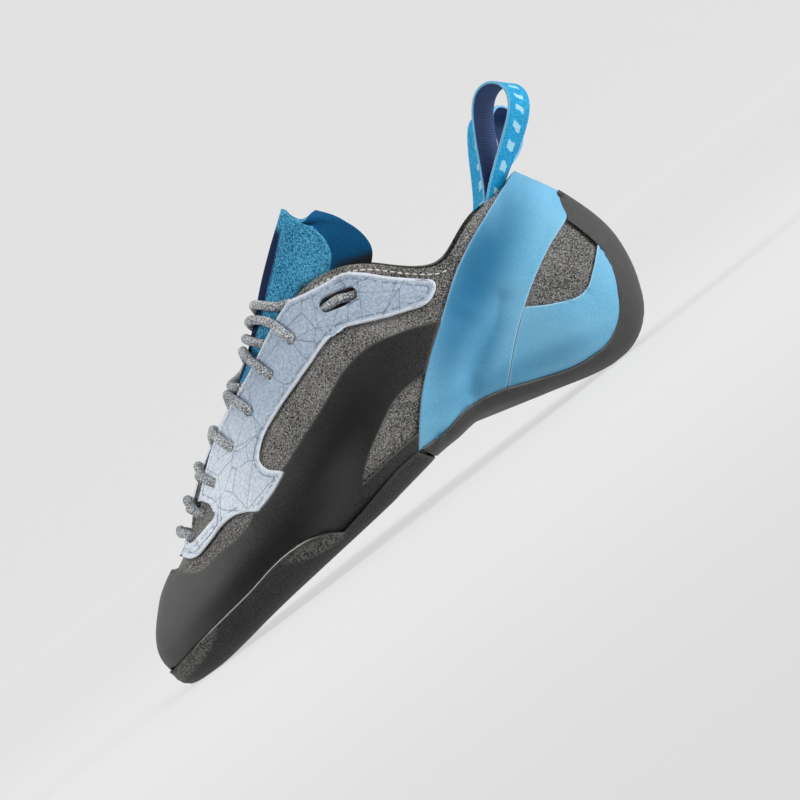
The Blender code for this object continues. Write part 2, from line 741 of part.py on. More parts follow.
eyestay = overlay("eyestay", PALE_PANEL, EYESTAY_THICKNESS, eyestay_area)
for hole in holes:
    cut(upper, hole)
    cut(eyestay, hole)
overlay("tension_strap", BLUE_RUBBER, STRAP_THICKNESS, strap_area)
outsole = overlay("outsole", BLACK_RUBBER, OUTSOLE_THICKNESS, outsole_area, band=True)
heel_rubber = overlay("heel_rubber", BLACK_RUBBER, HEEL_RUBBER_THICKNESS, heel_area, strap_clear,
                      outsole_clear, band=True)
overlay("toe_rubber", BLACK_RUBBER, TOE_RUBBER_THICKNESS, toe_area, eyestay_clear, strap_clear,
        outsole_clear, heel_clear, side_window)
overlay("heel_cup_outer", BLUE_RUBBER, CUP_THICKNESS, outer_cup_area, strap_clear, heel_clear)
overlay("heel_cup_inner", BLUE_RUBBER, CUP_THICKNESS, inner_cup_area, strap_clear, heel_clear)
cut(outsole, floor_level)
cut(heel_rubber, floor_level)
make_tongue()
make_lace()
make_loop("pull_loop_outer", OUTER_LOOP)
make_loop("pull_loop_inner", INNER_LOOP)
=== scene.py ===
import math

import bmesh
import bpy
import numpy as np
from mathutils import Matrix, Vector
from mathutils.bvhtree import BVHTree
from mathutils.kdtree import KDTree


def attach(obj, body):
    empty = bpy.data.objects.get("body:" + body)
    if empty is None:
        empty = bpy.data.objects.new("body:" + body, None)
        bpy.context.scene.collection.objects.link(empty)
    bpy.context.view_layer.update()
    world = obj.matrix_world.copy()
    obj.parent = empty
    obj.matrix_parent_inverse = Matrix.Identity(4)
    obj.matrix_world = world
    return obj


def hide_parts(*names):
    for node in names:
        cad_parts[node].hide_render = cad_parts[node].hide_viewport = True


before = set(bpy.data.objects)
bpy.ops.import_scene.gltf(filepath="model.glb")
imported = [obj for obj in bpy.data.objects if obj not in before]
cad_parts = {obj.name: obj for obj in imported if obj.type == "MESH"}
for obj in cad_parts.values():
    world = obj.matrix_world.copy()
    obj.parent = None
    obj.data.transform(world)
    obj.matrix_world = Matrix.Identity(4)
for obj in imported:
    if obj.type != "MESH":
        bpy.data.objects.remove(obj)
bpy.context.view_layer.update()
mm = 0.001
print("frame loaded")

# Shape of the last, lengths in metres
lastShape = {
    "length": 0.235,
    "halfBall": 0.042,
    "heelSpot": 0.030,
    "toeSwing": 0.011,
    "swingStart": 0.085,
    "swingEnd": 0.190,
    "swingPower": 1.5,
    "treadOut": 0.55,
    "treadRise": 0.2,
}
heelSpot = lastShape["heelSpot"]
# Height of the tread, then what the collar's edge gains or loses, both in mm along the foot
camberLine = (
    (0, 11.0), (14, 4.6), (30, 2.8), (53, 7.9), (76, 15.9), (92, 17.5), (112, 15.2), (137, 13.2),
    (160, 11.3), (185, 8.4), (202, 5.8), (217, 4.4), (232, 5.4),
)
rimTrim = (
    (0, 0.0), (34, 0.0), (41, 1.3), (47, 1.2), (52, 0.2), (58, -1.7), (66, -3.0), (75, -3.9), (82, -3.0),
    (90, -1.2), (98, 0.0), (120, 0.0), (260, 0.0),
)
trimFrom = 3.0
# Each section: place along the foot, bearing, rise, feather, wide, wide up, shoulder, shoulder up, rim,
# rim height
sections = (
    (12.8, 180, 3.4, 38, 65, 40, 53, 72, 29.5, 80.00),
    (12.8, 135, 3.4, 42, 64.5, 36, 54, 71, 32, 79.36),
    (12.8, 90, 3.8, 45, 64, 32, 56, 72, 38, 78.00),
    (24.7, 90, 3.6, 50, 70, 34, 66, 72, 57, 71.04),
    (36.2, 90, 3, 60, 79, 24, 71, 60, 52, 91.40),
    (47.7, 90, 2.8, 77, 96, 21, 75, 66, 30, 92.30),
    (59.6, 90, 2.6, 95.5, 110, 22, 81.5, 64, 24, 80.22),
    (70.2, 90, 2.6, 100.5, 111.5, 25, 84, 64, 21, 68.57),
    (80.9, 90, 2.8, 87, 96.5, 30, 67, 72, 19, 49.66),
    (80.9, 60, 2.6, 79, 87.5, 26, 61, 72, 20.5, 46.80),
    (80.9, 35, 2.2, 85.5, 90.5, 22, 63, 69, 21.5, 44.41),
    (80.9, 15, 1.8, 93.5, 97, 19, 69, 67.5, 22, 42.98),
    (80.9, -5, 1.6, 97, 100, 17, 72.5, 67, 22.5, 42.31),
    (80.9, -25, 1.8, 93.5, 98, 19, 72, 67, 22, 43.26),
    (80.9, -50, 2.2, 75, 80, 23, 62, 69, 20.5, 46.03),
    (80.9, -70, 2.6, 64, 69.5, 26, 57, 72, 19, 49.47),
    (80.9, -90, 2.8, 60, 67, 28, 55, 72, 18, 52.33),
    (70.2, -90, 2.8, 68.5, 79, 26, 59, 66, 19.5, 69.52),
    (59.6, -90, 3, 67.5, 82, 25, 63, 65, 23.5, 80.98),
    (47.7, -90, 4.2, 56, 76.5, 26, 64.5, 66, 28.5, 93.00),
    (36.2, -90, 4.8, 48, 71, 29, 66, 61, 51, 92.20),
    (24.7, -90, 4.4, 45, 67, 35, 64.5, 72, 56.5, 72.00),
    (12.8, -90, 3.8, 44, 63.5, 33, 55.5, 72, 38, 78.80),
    (12.8, -135, 3.4, 42, 64.5, 36, 54, 71, 32, 79.60),
)
rows = len(sections)
rimLevel = 5.0


def hermite(before, start, end, after, share):
    gaps = (end - start, start - before, after - end)
    step, stepBefore, stepAfter = (np.linalg.norm(gap, axis=-1, keepdims=True) + 1e-9 for gap in gaps)
    chord = (end - start) / step
    leave = ((start - before) / stepBefore * step + chord * stepBefore) / (step + stepBefore) * step
    arrive = (chord * stepAfter + (after - end) / stepAfter * step) / (step + stepAfter) * step
    f = share[..., None]
    return (
        start * (2 * f**3 - 3 * f**2 + 1)
        + leave * (f**3 - 2 * f**2 + f)
        + end * (3 * f**2 - 2 * f**3)
        + arrive * (f**3 - f**2)
    )


def along(points, place):
    points = np.asarray(points, float)
    padded = np.concatenate([[2 * points[0] - points[1]], points, [2 * points[-1] - points[-2]]])
    place = np.asarray(place, float)
    index = np.clip(np.floor(place).astype(int), 0, len(points) - 2)
    return hermite(*[padded[index + k] for k in range(4)], place - index)


def curveAt(line, x):
    points = np.array(line) * mm
    place = np.interp(x, points[:, 0], np.arange(len(points)))
    return along(points, place)[..., 1]


def camber(x):
    return curveAt(camberLine, x)


def ramp(value, start, end):
    return np.clip((value - start) / (end - start), 0, 1)


def toeSwing(x):
    share = ramp(x, lastShape["swingStart"], lastShape["swingEnd"])
    return -lastShape["toeSwing"] * share ** lastShape["swingPower"]


def sectionPoints(row):
    place, bearing, rise, feather, wide, wideUp, shoulder, shoulderUp, rim, rimHeight = row
    foot = np.array([place / 100 * lastShape["length"], 0.0])
    foot[1] = toeSwing(foot[0])
    out = np.array([math.cos(math.radians(bearing)), math.sin(math.radians(bearing))])
    shares = (0, feather * lastShape["treadOut"], feather, wide, shoulder, rim)
    plan = [foot + out * share / 100 * lastShape["halfBall"] for share in shares]
    low = camber(plan[2][0]) + rise * mm
    wall = rimHeight * mm - low
    heights = (
        camber(plan[0][0]),
        camber(plan[1][0]) + rise * mm * lastShape["treadRise"],
        low,
        low + wall * wideUp / 100,
        low + wall * shoulderUp / 100,
        rimHeight * mm,
    )
    return [(p[0] - heelSpot, p[1], z) for p, z in zip(plan, heights)]


sectionTable = np.array([sectionPoints(row) for row in sections])


def lastPoints(roundPlace, upPlace):
    index = np.floor(roundPlace).astype(int)
    share = roundPlace - index
    around = [sectionTable[(index + k) % rows] for k in (-1, 0, 1, 2)]
    levels = hermite(*around, np.repeat(share[:, None], 6, axis=1))
    levels[:, 0] = around[1][:, 0] * (1 - share[:, None]) + around[2][:, 0] * share[:, None]
    ends = [2 * levels[:, :1] - levels[:, 1:2], levels, 2 * levels[:, -1:] - levels[:, -2:-1]]
    levels = np.concatenate(ends, axis=1)
    step = np.clip(np.floor(upPlace).astype(int), 0, 4)
    pick = np.arange(len(step))
    points = hermite(*[levels[pick, step + k] for k in range(4)], upPlace - step)
    nearRim = ramp(upPlace, trimFrom, rimLevel) ** 2
    points[:, 2] += curveAt(rimTrim, points[:, 0] + heelSpot) * nearRim
    return points


# Soft creases and swells in the side view: side or 0 for both, height and width in mm, then the line
creases = (
    (1, -1.7, 6.5, ((27.3, 73), (36.2, 62.5), (52, 58), (66, 51))),
    (1, -2, 3.6, ((50, 44.5), (58.8, 38.3), (68, 34.5), (76, 30), (80, 24.5))),
    (1, 1.2, 5.5, ((64, 49), (76, 39.9), (85, 30.4), (94, 22))),
    (-1, -1.2, 6, ((30, 68), (52, 55), (70, 40))),
    (0, -0.9, 5, ((168, 25), (190, 21), (214, 17.5))),
    (0, -0.7, 4, ((108, 64), (126, 59), (146, 50))),
    (1, 0.5, 4, ((112, 50), (140, 38), (165, 33))),
    (1, -0.5, 2.2, ((60, 69), (66, 62), (71, 56))),
)
sideFade = 0.006


def lineDistance(x, z, line):
    best = np.full(len(x), 1e9)
    for (ax, az), (bx, bz) in zip(line[:-1], line[1:]):
        dx, dz = bx - ax, bz - az
        share = np.clip(((x - ax) * dx + (z - az) * dz) / (dx * dx + dz * dz), 0, 1)
        best = np.minimum(best, np.hypot(x - ax - dx * share, z - az - dz * share))
    return best


def relief(points):
    x = (points[:, 0] + heelSpot) / mm
    z = points[:, 2] / mm
    height = np.zeros(len(points))
    for side, rise, width, line in creases:
        out = points[:, 1] * side if side else abs(points[:, 1])
        swell = np.exp(-((lineDistance(x, z, line) / width) ** 2))
        height += rise * mm * swell * ramp(out, 0, sideFade)
    return height


# Fine sheet over the whole last
sheetSteps = {
    "round": (14, 14, 18, 18, 18, 18, 18, 18, 12, 12, 11, 10),
    "up": (5, 10, 10, 18, 18),
}


def spaced(steps):
    return [row + k / count for row, count in enumerate(steps) for k in range(count)]


def faceOut(form, direction):
    # Turns all normals so that the face farthest along a direction looks that way.
    bmesh.ops.recalc_face_normals(form, faces=form.faces)
    farthest = max(form.faces, key=lambda face: face.calc_center_median().dot(direction))
    if farthest.normal.dot(direction) < 0:
        bmesh.ops.reverse_faces(form, faces=form.faces)


def finished(form, name):
    mesh = bpy.data.meshes.new(name)
    form.to_mesh(mesh)
    form.free()
    return mesh


def makeBaseSheet():
    half = spaced(sheetSteps["round"])
    rounds = np.array(half + [rows / 2] + [rows - place for place in half[::-1]])
    ups = np.array(spaced(sheetSteps["up"]) + [rimLevel])
    sheet = bmesh.new()
    bmesh.ops.create_grid(sheet, x_segments=len(rounds) - 1, y_segments=len(ups) - 1, size=0.5)
    upLayer = sheet.verts.layers.float.new("up")
    columns = [round((v.co.x + 0.5) * (len(rounds) - 1)) for v in sheet.verts]
    levels = [round((v.co.y + 0.5) * (len(ups) - 1)) for v in sheet.verts]
    points = lastPoints(rounds[columns], ups[levels])
    for vert, point, level in zip(sheet.verts, points, levels):
        vert.co = point
        vert[upLayer] = ups[level]
    bmesh.ops.remove_doubles(sheet, verts=sheet.verts, dist=1e-6)
    faceOut(sheet, Vector((0, 1, 0)))
    sheet.normal_update()
    heights = relief(np.array([vert.co for vert in sheet.verts]))
    for vert, height in zip(sheet.verts, heights):
        vert.co += vert.normal * height
    sheet.normal_update()
    tree = BVHTree.FromBMesh(sheet)
    return finished(sheet, "baseSheet"), tree


baseMesh, baseTree = makeBaseSheet()
print("last made")


def sheetCopy(name, low, high, offset, upFrom):
    # Part of the base sheet inside a side-view box, moved out along its normals.
    form = bmesh.new()
    form.from_mesh(baseMesh)
    upLayer = form.verts.layers.float["up"]
    for vert in form.verts:
        vert.co += vert.normal * offset
    spare = []
    for face in form.faces:
        middle = face.calc_center_median()
        inside = low[0] < middle.x < high[0] and low[1] < middle.z < high[1]
        if not inside or min(vert[upLayer] for vert in face.verts) < upFrom - 1e-4:
            spare.append(face)
    bmesh.ops.delete(form, geom=spare, context="FACES")
    return finished(form, name)


def toMesh(helper):
    bpy.context.view_layer.update()
    shaped = helper.evaluated_get(bpy.context.evaluated_depsgraph_get())
    mesh = bpy.data.meshes.new_from_object(shaped)
    mesh.transform(helper.matrix_world)
    bpy.data.objects.remove(helper, do_unlink=True)
    return mesh


def linked(name, data):
    made = bpy.data.objects.new(name, data)
    bpy.context.scene.collection.objects.link(made)
    return made


def cutterFrom(name, mesh):
    made = linked(name, mesh)
    made.hide_render = True
    return made


def weld(mesh):
    form = bmesh.new()
    form.from_mesh(mesh)
    bmesh.ops.remove_doubles(form, verts=form.verts, dist=1e-6)
    bmesh.ops.recalc_face_normals(form, faces=form.faces)
    form.to_mesh(mesh)
    form.free()
    return mesh


cutterReach = {"reach": 0.08, "clear": 0.0001, "margin": 0.006, "smoothness": 9}


def prism(name, border, low=-1, high=1, grow=0.0):
    # Cutter with a side-view border. A third number marks a corner.
    outline = bpy.data.curves.new(name, "CURVE")
    outline.dimensions = "2D"
    outline.fill_mode = "BOTH"
    outline.resolution_u = cutterReach["smoothness"]
    outline.extrude = (high - low) / 2 * cutterReach["reach"]
    outline.offset = grow
    spline = outline.splines.new("BEZIER")
    spline.bezier_points.add(len(border) - 1)
    spline.use_cyclic_u = True
    for point, place in zip(spline.bezier_points, border):
        point.co = (place[0] * mm - heelSpot, place[1] * mm, 0)
        kind = "VECTOR" if len(place) == 3 else "AUTO"
        point.handle_left_type = kind
        point.handle_right_type = kind
    helper = linked(name, outline)
    helper.rotation_euler = (math.radians(90), 0, 0)
    helper.location.y = (low + high) / 2 * cutterReach["reach"]
    return cutterFrom(name, weld(toMesh(helper)))


# Panel borders in the side view, in mm from the back of the heel and over the floor
borders = {
    "eyestay": (
        (116, 99, 1), (112.4, 93, 1), (105, 91.2), (97, 89.9), (91, 88.9), (87, 86.4),
        (77.1, 76.6), (69, 69.3), (66, 66.4), (65.9, 64.5), (69.6, 61.6), (73, 60.9), (79.9, 63),
        (88.9, 66.4), (97.6, 70.4), (104.4, 73.2), (110, 73), (121, 69.8), (131.3, 66.6),
        (142.8, 62.8), (154, 57.2), (158.4, 51), (152.8, 43.9, 1), (161, 40.4), (169.7, 37.9, 1),
        (175, 41.4), (181, 42.4), (192, 39.8), (199.7, 38.6), (204, 41.4), (208, 45, 1), (208, 62, 1),
        (160, 95, 1),
    ),
    "strap": (
        (8, 86, 1), (15.6, 80.4, 1), (30.7, 75.1), (53.9, 65.4), (72.4, 53), (87.4, 42.2), (99.4, 30.6),
        (108.7, 19.2, 1), (97, 18.5), (84, 20.6), (68.4, 17.6, 1), (51.1, 33.3), (26.8, 48.5),
        (10.9, 54.3, 1), (9.6, 60.2), (7.4, 64, 1), (-8, 66, 1),
    ),
    "heelRubber": (
        (-8, 67, 1), (9, 66.5, 1), (12.4, 58), (10.2, 49), (8.2, 36), (12, 23), (24, 9.2), (40, 7.4),
        (60, 13.8), (82, 22), (97, 19.8), (107.4, 19.7, 1), (104.4, 11.6, 1), (104, -6, 1), (-8, -6, 1),
    ),
    "outsole": (
        (104.4, 11.6, 1), (109.2, 19, 1), (120, 18.2), (135, 14.9), (149, 12.2, 1), (154, 15.8),
        (166, 19.2), (194.8, 15.5), (213, 13), (232, 9.4), (246, 7.4, 1), (246, -6, 1), (104, -6, 1),
    ),
    "toeRubber": (
        (214, 44, 1), (207.6, 37.4), (202, 33.4), (188.6, 34.3), (176, 36), (170.6, 39.2, 1),
        (152, 45.2), (130.5, 53), (104, 61.6), (88, 58.9), (72.4, 53, 1), (68, 50, 1), (98, 26, 1),
        (108.9, 20.4, 1), (113, 12, 1), (244, -4, 1), (244, 44, 1),
    ),
    "sideWindow": (
        (86, 40.4, 1), (101, 40.7), (114, 35.4), (129, 26), (132.2, 22.4, 1), (117, 24.1), (98, 24.7, 1),
    ),
    "throatNotch": (
        (182.6, 48.6), (183.8, 46.4), (188.5, 44.9), (194.1, 43.7), (197.6, 43.4), (199.4, 46.4, 1),
        (192, 56, 1), (185, 53.5, 1),
    ),
    "heelCup": (
        (46, 38.4, 1), (34, 31.4), (24.2, 28.4), (16, 33), (6, 42, 1), (-6, 36, 1), (-6, 2, 1),
        (74, 2, 1), (74, 20, 1),
    ),
}
eyelets = (
    (195.8, 44.9), (187, 49), (176.5, 55), (162.9, 61.6), (149.5, 68.3), (135.2, 74.5), (120.2, 80.1),
)
slotEnds = ((93.4, 80.7), (102.8, 83.0))
holeShape = {
    "radius": 0.0021, "sides": 20, "depth": 0.014, "slotRadius": 0.0033, "apart": 0.0045, "slotApart": 0.0055,
}


sideSamples = {"start": 0.3, "short": 0.05, "low": 2.2, "around": 360, "up": 180}


def sidePlaces(side):
    rounds = np.linspace(sideSamples["start"], rows / 2 - sideSamples["short"], sideSamples["around"])
    return rounds if side > 0 else rows - rounds


def sideGrid(side):
    ups = np.linspace(sideSamples["low"], rimLevel, sideSamples["up"])
    rounds, ups = (places.ravel() for places in np.meshgrid(sidePlaces(side), ups))
    return lastPoints(rounds, ups)


sideGrids = {1: sideGrid(1), -1: sideGrid(-1)}
throat = {"below": 0.02, "start": 0.085}


def onSheet(point):
    return baseTree.find_nearest(Vector(point))[:2]


def onShoe(x, z, side):
    # Point of the base sheet that shows at a side-view place in mm, with its normal.
    points = sideGrids[side]
    best = np.argmin(np.hypot(points[:, 0] - (x * mm - heelSpot), points[:, 2] - z * mm))
    return onSheet(points[best])


def onSlot(share, side):
    (startX, startZ), (endX, endZ) = slotEnds[1], slotEnds[0]
    return onShoe(startX + (endX - startX) * share, startZ + (endZ - startZ) * share, side)


def onThroat(x, side):
    # The same just below the throat's edge.
    rounds = sidePlaces(side)
    points = lastPoints(rounds, np.full(len(rounds), rimLevel - throat["below"]))
    ahead = points[:, 0] + heelSpot > throat["start"]
    best = np.argmin(np.where(ahead, abs(points[:, 0] - (x * mm - heelSpot)), 1e9))
    return onSheet(points[best])


def holePins():
    pins = bmesh.new()
    holes = [((hole,), holeShape["radius"]) for hole in eyelets] + [(slotEnds, holeShape["slotRadius"])]
    for side in (1, -1):
        for ends, radius in holes:
            places = [onShoe(x, z, side) for x, z in ends]
            place, normal = places[0]
            turn = normal.to_track_quat("Z", "Y").to_matrix().to_4x4()
            turn.translation = place
            pin = bmesh.ops.create_cone(pins, cap_ends=True, segments=holeShape["sides"], radius1=radius,
                                        radius2=radius, depth=holeShape["depth"], matrix=turn)
            stretch = places[-1][0] - place
            farSide = [vert for vert in pin["verts"] if (vert.co - place).dot(stretch) > 0]
            bmesh.ops.translate(pins, verts=farSide, vec=stretch)
    return cutterFrom("holePins", finished(pins, "holePins"))


def floorBlock():
    block = bmesh.new()
    bmesh.ops.create_cube(block, size=1.0)
    bmesh.ops.translate(block, verts=block.verts, vec=(0, 0, -0.5))
    return cutterFrom("floorBlock", finished(block, "floorBlock"))


soleBand = {
    "foot": 0.002, "top": 0.010, "share": 0.66, "toeShare": 0.52, "toeStart": 0.196, "toeEnd": 0.226,
    "rear": 0.104, "rearLength": 0.024, "steepStart": -0.9, "steepEnd": -0.3, "steepShare": 0.85,
}


def thinUpwards(part, wall, rearShare):
    # Thins a sole's wall up its sides, round the toe and towards its rear end.
    band = soleBand
    group = part.vertex_groups.new(name="thickness")
    points = np.array([vert.co for vert in part.data.vertices])
    x = points[:, 0] + heelSpot
    climb = ramp(points[:, 2] - camber(x), band["foot"], band["top"])
    topShare = np.interp(x, (band["toeStart"], band["toeEnd"]), (band["share"], band["toeShare"]))
    rear = np.interp(x, (band["rear"], band["rear"] + band["rearLength"]), (rearShare, 1.0))
    toe = ramp(x, band["toeStart"], band["toeEnd"])
    upward = np.array([vert.normal.z for vert in part.data.vertices])
    steep = ramp(upward, band["steepStart"], band["steepEnd"])
    climb = np.maximum(climb, steep * toe * band["steepShare"])
    for index, share in enumerate((1 - (1 - topShare) * climb) * rear):
        group.add([index], float(share), "REPLACE")
    wall.vertex_group = group.name
    wall.use_even_offset = True


layerGap = 0.0002


def carve(name, thickness, keep, away=(), band=0.0, outward=True, upFrom=0.0):
    # Wall on the base sheet, cut to its border and clear of its neighbours.
    low, high = (-1.0, -1.0), (1.0, 1.0)
    if keep:
        corners = np.array([vert.co for vert in keep.data.vertices])
        low = corners.min(0)[[0, 2]] - cutterReach["margin"]
        high = corners.max(0)[[0, 2]] + cutterReach["margin"]
    part = linked(name, sheetCopy(name, low, high, layerGap if outward else 0.0, upFrom))
    wall = part.modifiers.new("wall", "SOLIDIFY")
    wall.thickness = thickness
    wall.offset = 1 if outward else -1
    if band:
        thinUpwards(part, wall, band)
    cuts = [(keep, "INTERSECT")] if keep else []
    for cutter, operation in cuts + [(other, "DIFFERENCE") for other in away]:
        step = part.modifiers.new(cutter.name, "BOOLEAN")
        step.operation = operation
        step.solver = "EXACT"
        step.object = cutter
    return toMesh(part)


softEdge = {
    "weld": 0.00022, "clear": 0.0012, "rings": (0.00020, 0.00035, 0.00050), "round": 0.0006, "smoothing": 6,
    "corner": 0.9, "topShare": 0.55, "sample": 0.0002, "band": 0.0010,
}


def pointTree(points):
    tree = KDTree(len(points))
    for index, point in enumerate(points):
        tree.insert(point, index)
    tree.balance()
    return tree


def smoothRim(rim):
    # Evens out the small steps that cutting leaves along a border, but keeps its corners.
    beside = {}
    for edge in rim:
        for vert in edge.verts:
            beside.setdefault(vert, []).append(edge.other_vert(vert))
    pairs = [(vert, *pair) for vert, pair in beside.items() if len(pair) == 2]
    for step in range(softEdge["smoothing"]):
        places = {}
        for vert, one, other in pairs:
            if (one.co - vert.co).angle(vert.co - other.co, 0.0) < softEdge["corner"]:
                places[vert] = vert.co.lerp((one.co + other.co) / 2, 0.5)
        for vert, place in places.items():
            vert.co = place


def roundBorder(mesh, topHeight, thickness, drop, groove=None, holes=()):
    # Rounds the outer border of a panel and notes each point's nearness to it.
    form = bmesh.new()
    form.from_mesh(mesh)
    bmesh.ops.remove_doubles(form, verts=form.verts, dist=softEdge["weld"])

    def topVerts():
        reach = thickness * softEdge["topShare"]
        return {vert for vert in form.verts if abs(baseTree.find_nearest(vert.co)[3] - topHeight) < reach}

    def topFacesOf(top):
        return [face for face in form.faces if all(vert in top for vert in face.verts)]

    top = topVerts()
    topFaces = set(topFacesOf(top))
    rim = [edge for edge in form.edges if len({face in topFaces for face in edge.link_faces}) == 2]
    smoothRim(rim)
    samples = []
    for edge in rim:
        count = max(1, int(edge.calc_length() / softEdge["sample"]))
        samples += [edge.verts[0].co.lerp(edge.verts[1].co, k / count) for k in range(count + 1)]
    border = pointTree(samples)
    seam = pointTree([p for p in samples if all((p - hole).length > reach for hole, reach in holes)])
    rimVerts = {vert for edge in rim for vert in edge.verts}
    rimList = list(rimVerts)
    rimTree = pointTree([vert.co for vert in rimList])
    near = [vert for vert in top if vert not in rimVerts and border.find(vert.co)[2] < softEdge["clear"]]
    bmesh.ops.weld_verts(form, targetmap={vert: rimList[rimTree.find(vert.co)[1]] for vert in near})
    bmesh.ops.dissolve_degenerate(form, dist=1e-5, edges=form.edges)
    bmesh.ops.triangulate(form, faces=[face for face in form.faces if len(face.verts) > 4])
    form.normal_update()
    inner = topFacesOf(topVerts())
    for width in softEdge["rings"]:
        bmesh.ops.inset_region(form, faces=inner, thickness=width, use_boundary=True, use_even_offset=False)
    edgeLayer = form.verts.layers.float.new("edge")
    depthLayer = form.verts.layers.float.new("depth")
    radius = softEdge["round"]
    moves = []
    for vert in topVerts():
        far = border.find(vert.co)[2]
        vert[edgeLayer] = max(0.0, 1 - far / softEdge["band"])
        seamFar = seam.find(vert.co)[2]
        vert[depthLayer] = seamFar
        share = min(1.0, far / radius)
        down = drop * (1 - math.sqrt(max(0.0, 1 - (1 - share) ** 2)))
        if groove:
            down += groove["depth"] * math.exp(-(((seamFar - groove["place"]) / groove["width"]) ** 2))
        moves.append((vert, baseTree.find_nearest(vert.co)[1] * -down))
    for vert, move in moves:
        vert.co += move
    bmesh.ops.recalc_face_normals(form, faces=form.faces)
    form.to_mesh(mesh)
    form.free()
    return mesh


def addPiece(name, mesh, material, slot, *nodes, sharp=50):
    made = linked(name, mesh)
    mesh.materials.clear()
    mesh.materials.append(material)
    mesh.shade_smooth()
    mesh.set_sharp_from_angle(angle=math.radians(sharp))
    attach(made, "root")
    if nodes:
        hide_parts(*nodes)
    print("made", name, len(mesh.polygons))
    return made


# Shader helpers
def rgb(red, green, blue):
    channels = [c / 255 for c in (red, green, blue)]
    return tuple(c / 12.92 if c < 0.04045 else ((c + 0.055) / 1.055) ** 2.4 for c in channels) + (1.0,)


def addNode(tree, kind, inputs=None, **settings):
    node = tree.nodes.new("ShaderNode" + kind)
    for key, value in settings.items():
        setattr(node, key, value)
    for key, value in (inputs or {}).items():
        if isinstance(value, bpy.types.NodeSocket):
            tree.links.new(value, node.inputs[key])
        else:
            node.inputs[key].default_value = value
    return node


def maths(tree, operation, first, second=0.0, clamp=False):
    inputs = {0: first, 1: second}
    return addNode(tree, "Math", inputs, operation=operation, use_clamp=clamp).outputs[0]


def times(tree, first, second):
    return maths(tree, "MULTIPLY", first, second)


def size(tree, value):
    return maths(tree, "ABSOLUTE", value)


def spread(tree, value, low, high, toLow=0.0, toHigh=1.0):
    inputs = {"Value": value, "From Min": low, "From Max": high, "To Min": toLow, "To Max": toHigh}
    return addNode(tree, "MapRange", inputs, interpolation_type="SMOOTHSTEP").outputs["Result"]


def mixed(tree, share, first, second):
    return addNode(tree, "Mix", {0: share, 6: first, 7: second}, data_type="RGBA").outputs[2]


def noise(tree, vector, scale, detail=2.0, roughness=0.5):
    inputs = {"Vector": vector, "Scale": scale, "Detail": detail, "Roughness": roughness}
    return addNode(tree, "TexNoise", inputs).outputs["Fac"]


def attribute(tree, name):
    return addNode(tree, "Attribute", attribute_name=name).outputs["Fac"]


def axis(tree, vector, letter):
    return addNode(tree, "SeparateXYZ", {"Vector": vector}).outputs[letter]


def startGroup(name, inputs, outputs):
    group = bpy.data.node_groups.new(name, "ShaderNodeTree")
    for label, kind, value in inputs:
        socket = group.interface.new_socket(name=label, in_out="INPUT", socket_type="NodeSocket" + kind)
        if value is not None:
            socket.default_value = value
    for label, kind in outputs:
        group.interface.new_socket(name=label, in_out="OUTPUT", socket_type="NodeSocket" + kind)
    return group, group.nodes.new("NodeGroupInput").outputs, group.nodes.new("NodeGroupOutput").inputs


def useGroup(tree, group, **inputs):
    return addNode(tree, "Group", inputs, node_tree=group).outputs


vectorIn = ("Vector", "Vector", None)
grains = {
    "drift": 60.0, "driftShare": 0.7, "flecks": (0.36, 0.68), "clouds": 45.0, "dust": (0.35, 0.75),
    "fade": 70.0, "faint": (0.30, 0.50, 0.35, 1.0),
}


def makeFleckGroup():
    # Mottled suede: fine light and dark flecks over a slow drift.
    inputs = [vectorIn, ("Scale", "Float", 1300.0)]
    inputs += [(label, "Color", None) for label in ("Dark", "Light")]
    outputs = [("Color", "Color"), ("Height", "Float")]
    group, given, out = startGroup("fleckedSuede", inputs, outputs)
    fine = noise(group, given["Vector"], given["Scale"], 3.0, 0.65)
    drift = noise(group, given["Vector"], grains["drift"], 2.0)
    slow = times(group, maths(group, "SUBTRACT", drift, 0.5), grains["driftShare"])
    share = maths(group, "ADD", spread(group, fine, *grains["flecks"]), slow, True)
    group.links.new(mixed(group, share, given["Dark"], given["Light"]), out["Color"])
    group.links.new(fine, out["Height"])
    return group


def makeRubberGroup():
    # Rubber: fine grain and slow dusty clouds.
    inputs = [vectorIn, ("Scale", "Float", 1500.0)]
    outputs = [("Dust", "Float"), ("Grain", "Float")]
    group, given, out = startGroup("rubberGrain", inputs, outputs)
    clouds = noise(group, given["Vector"], grains["clouds"], 4.0, 0.6)
    grain = noise(group, given["Vector"], given["Scale"], 3.0, 0.6)
    group.links.new(spread(group, clouds, *grains["dust"]), out["Dust"])
    group.links.new(grain, out["Grain"])
    return group


def makeWebGroup():
    # Thin straight cracks between cells, fainter here and there.
    inputs = [vectorIn, ("Scale", "Float", 105.0), ("Width", "Float", 0.02)]
    group, given, out = startGroup("webPrint", inputs, [("Lines", "Float")])
    inputs = {label: given[label] for label in ("Vector", "Scale")}
    cells = addNode(group, "TexVoronoi", inputs, feature="DISTANCE_TO_EDGE").outputs["Distance"]
    inputs = {"Value": cells, "From Min": 0.0, "From Max": given["Width"], "To Min": 1.0, "To Max": 0.0}
    thin = addNode(group, "MapRange", inputs).outputs["Result"]
    faint = spread(group, noise(group, given["Vector"], grains["fade"], 1.0), *grains["faint"])
    group.links.new(times(group, thin, faint), out["Lines"])
    return group


fleckGroup, rubberGroup, webGroup = makeFleckGroup(), makeRubberGroup(), makeWebGroup()


def startMaterial(name, roughness, specular):
    made = bpy.data.materials.new(name)
    made.use_nodes = True
    tree = made.node_tree
    inputs = tree.nodes["Principled BSDF"].inputs
    inputs["Roughness"].default_value = roughness
    inputs["Specular IOR Level"].default_value = specular
    return made, tree, addNode(tree, "TexCoord").outputs["Object"]


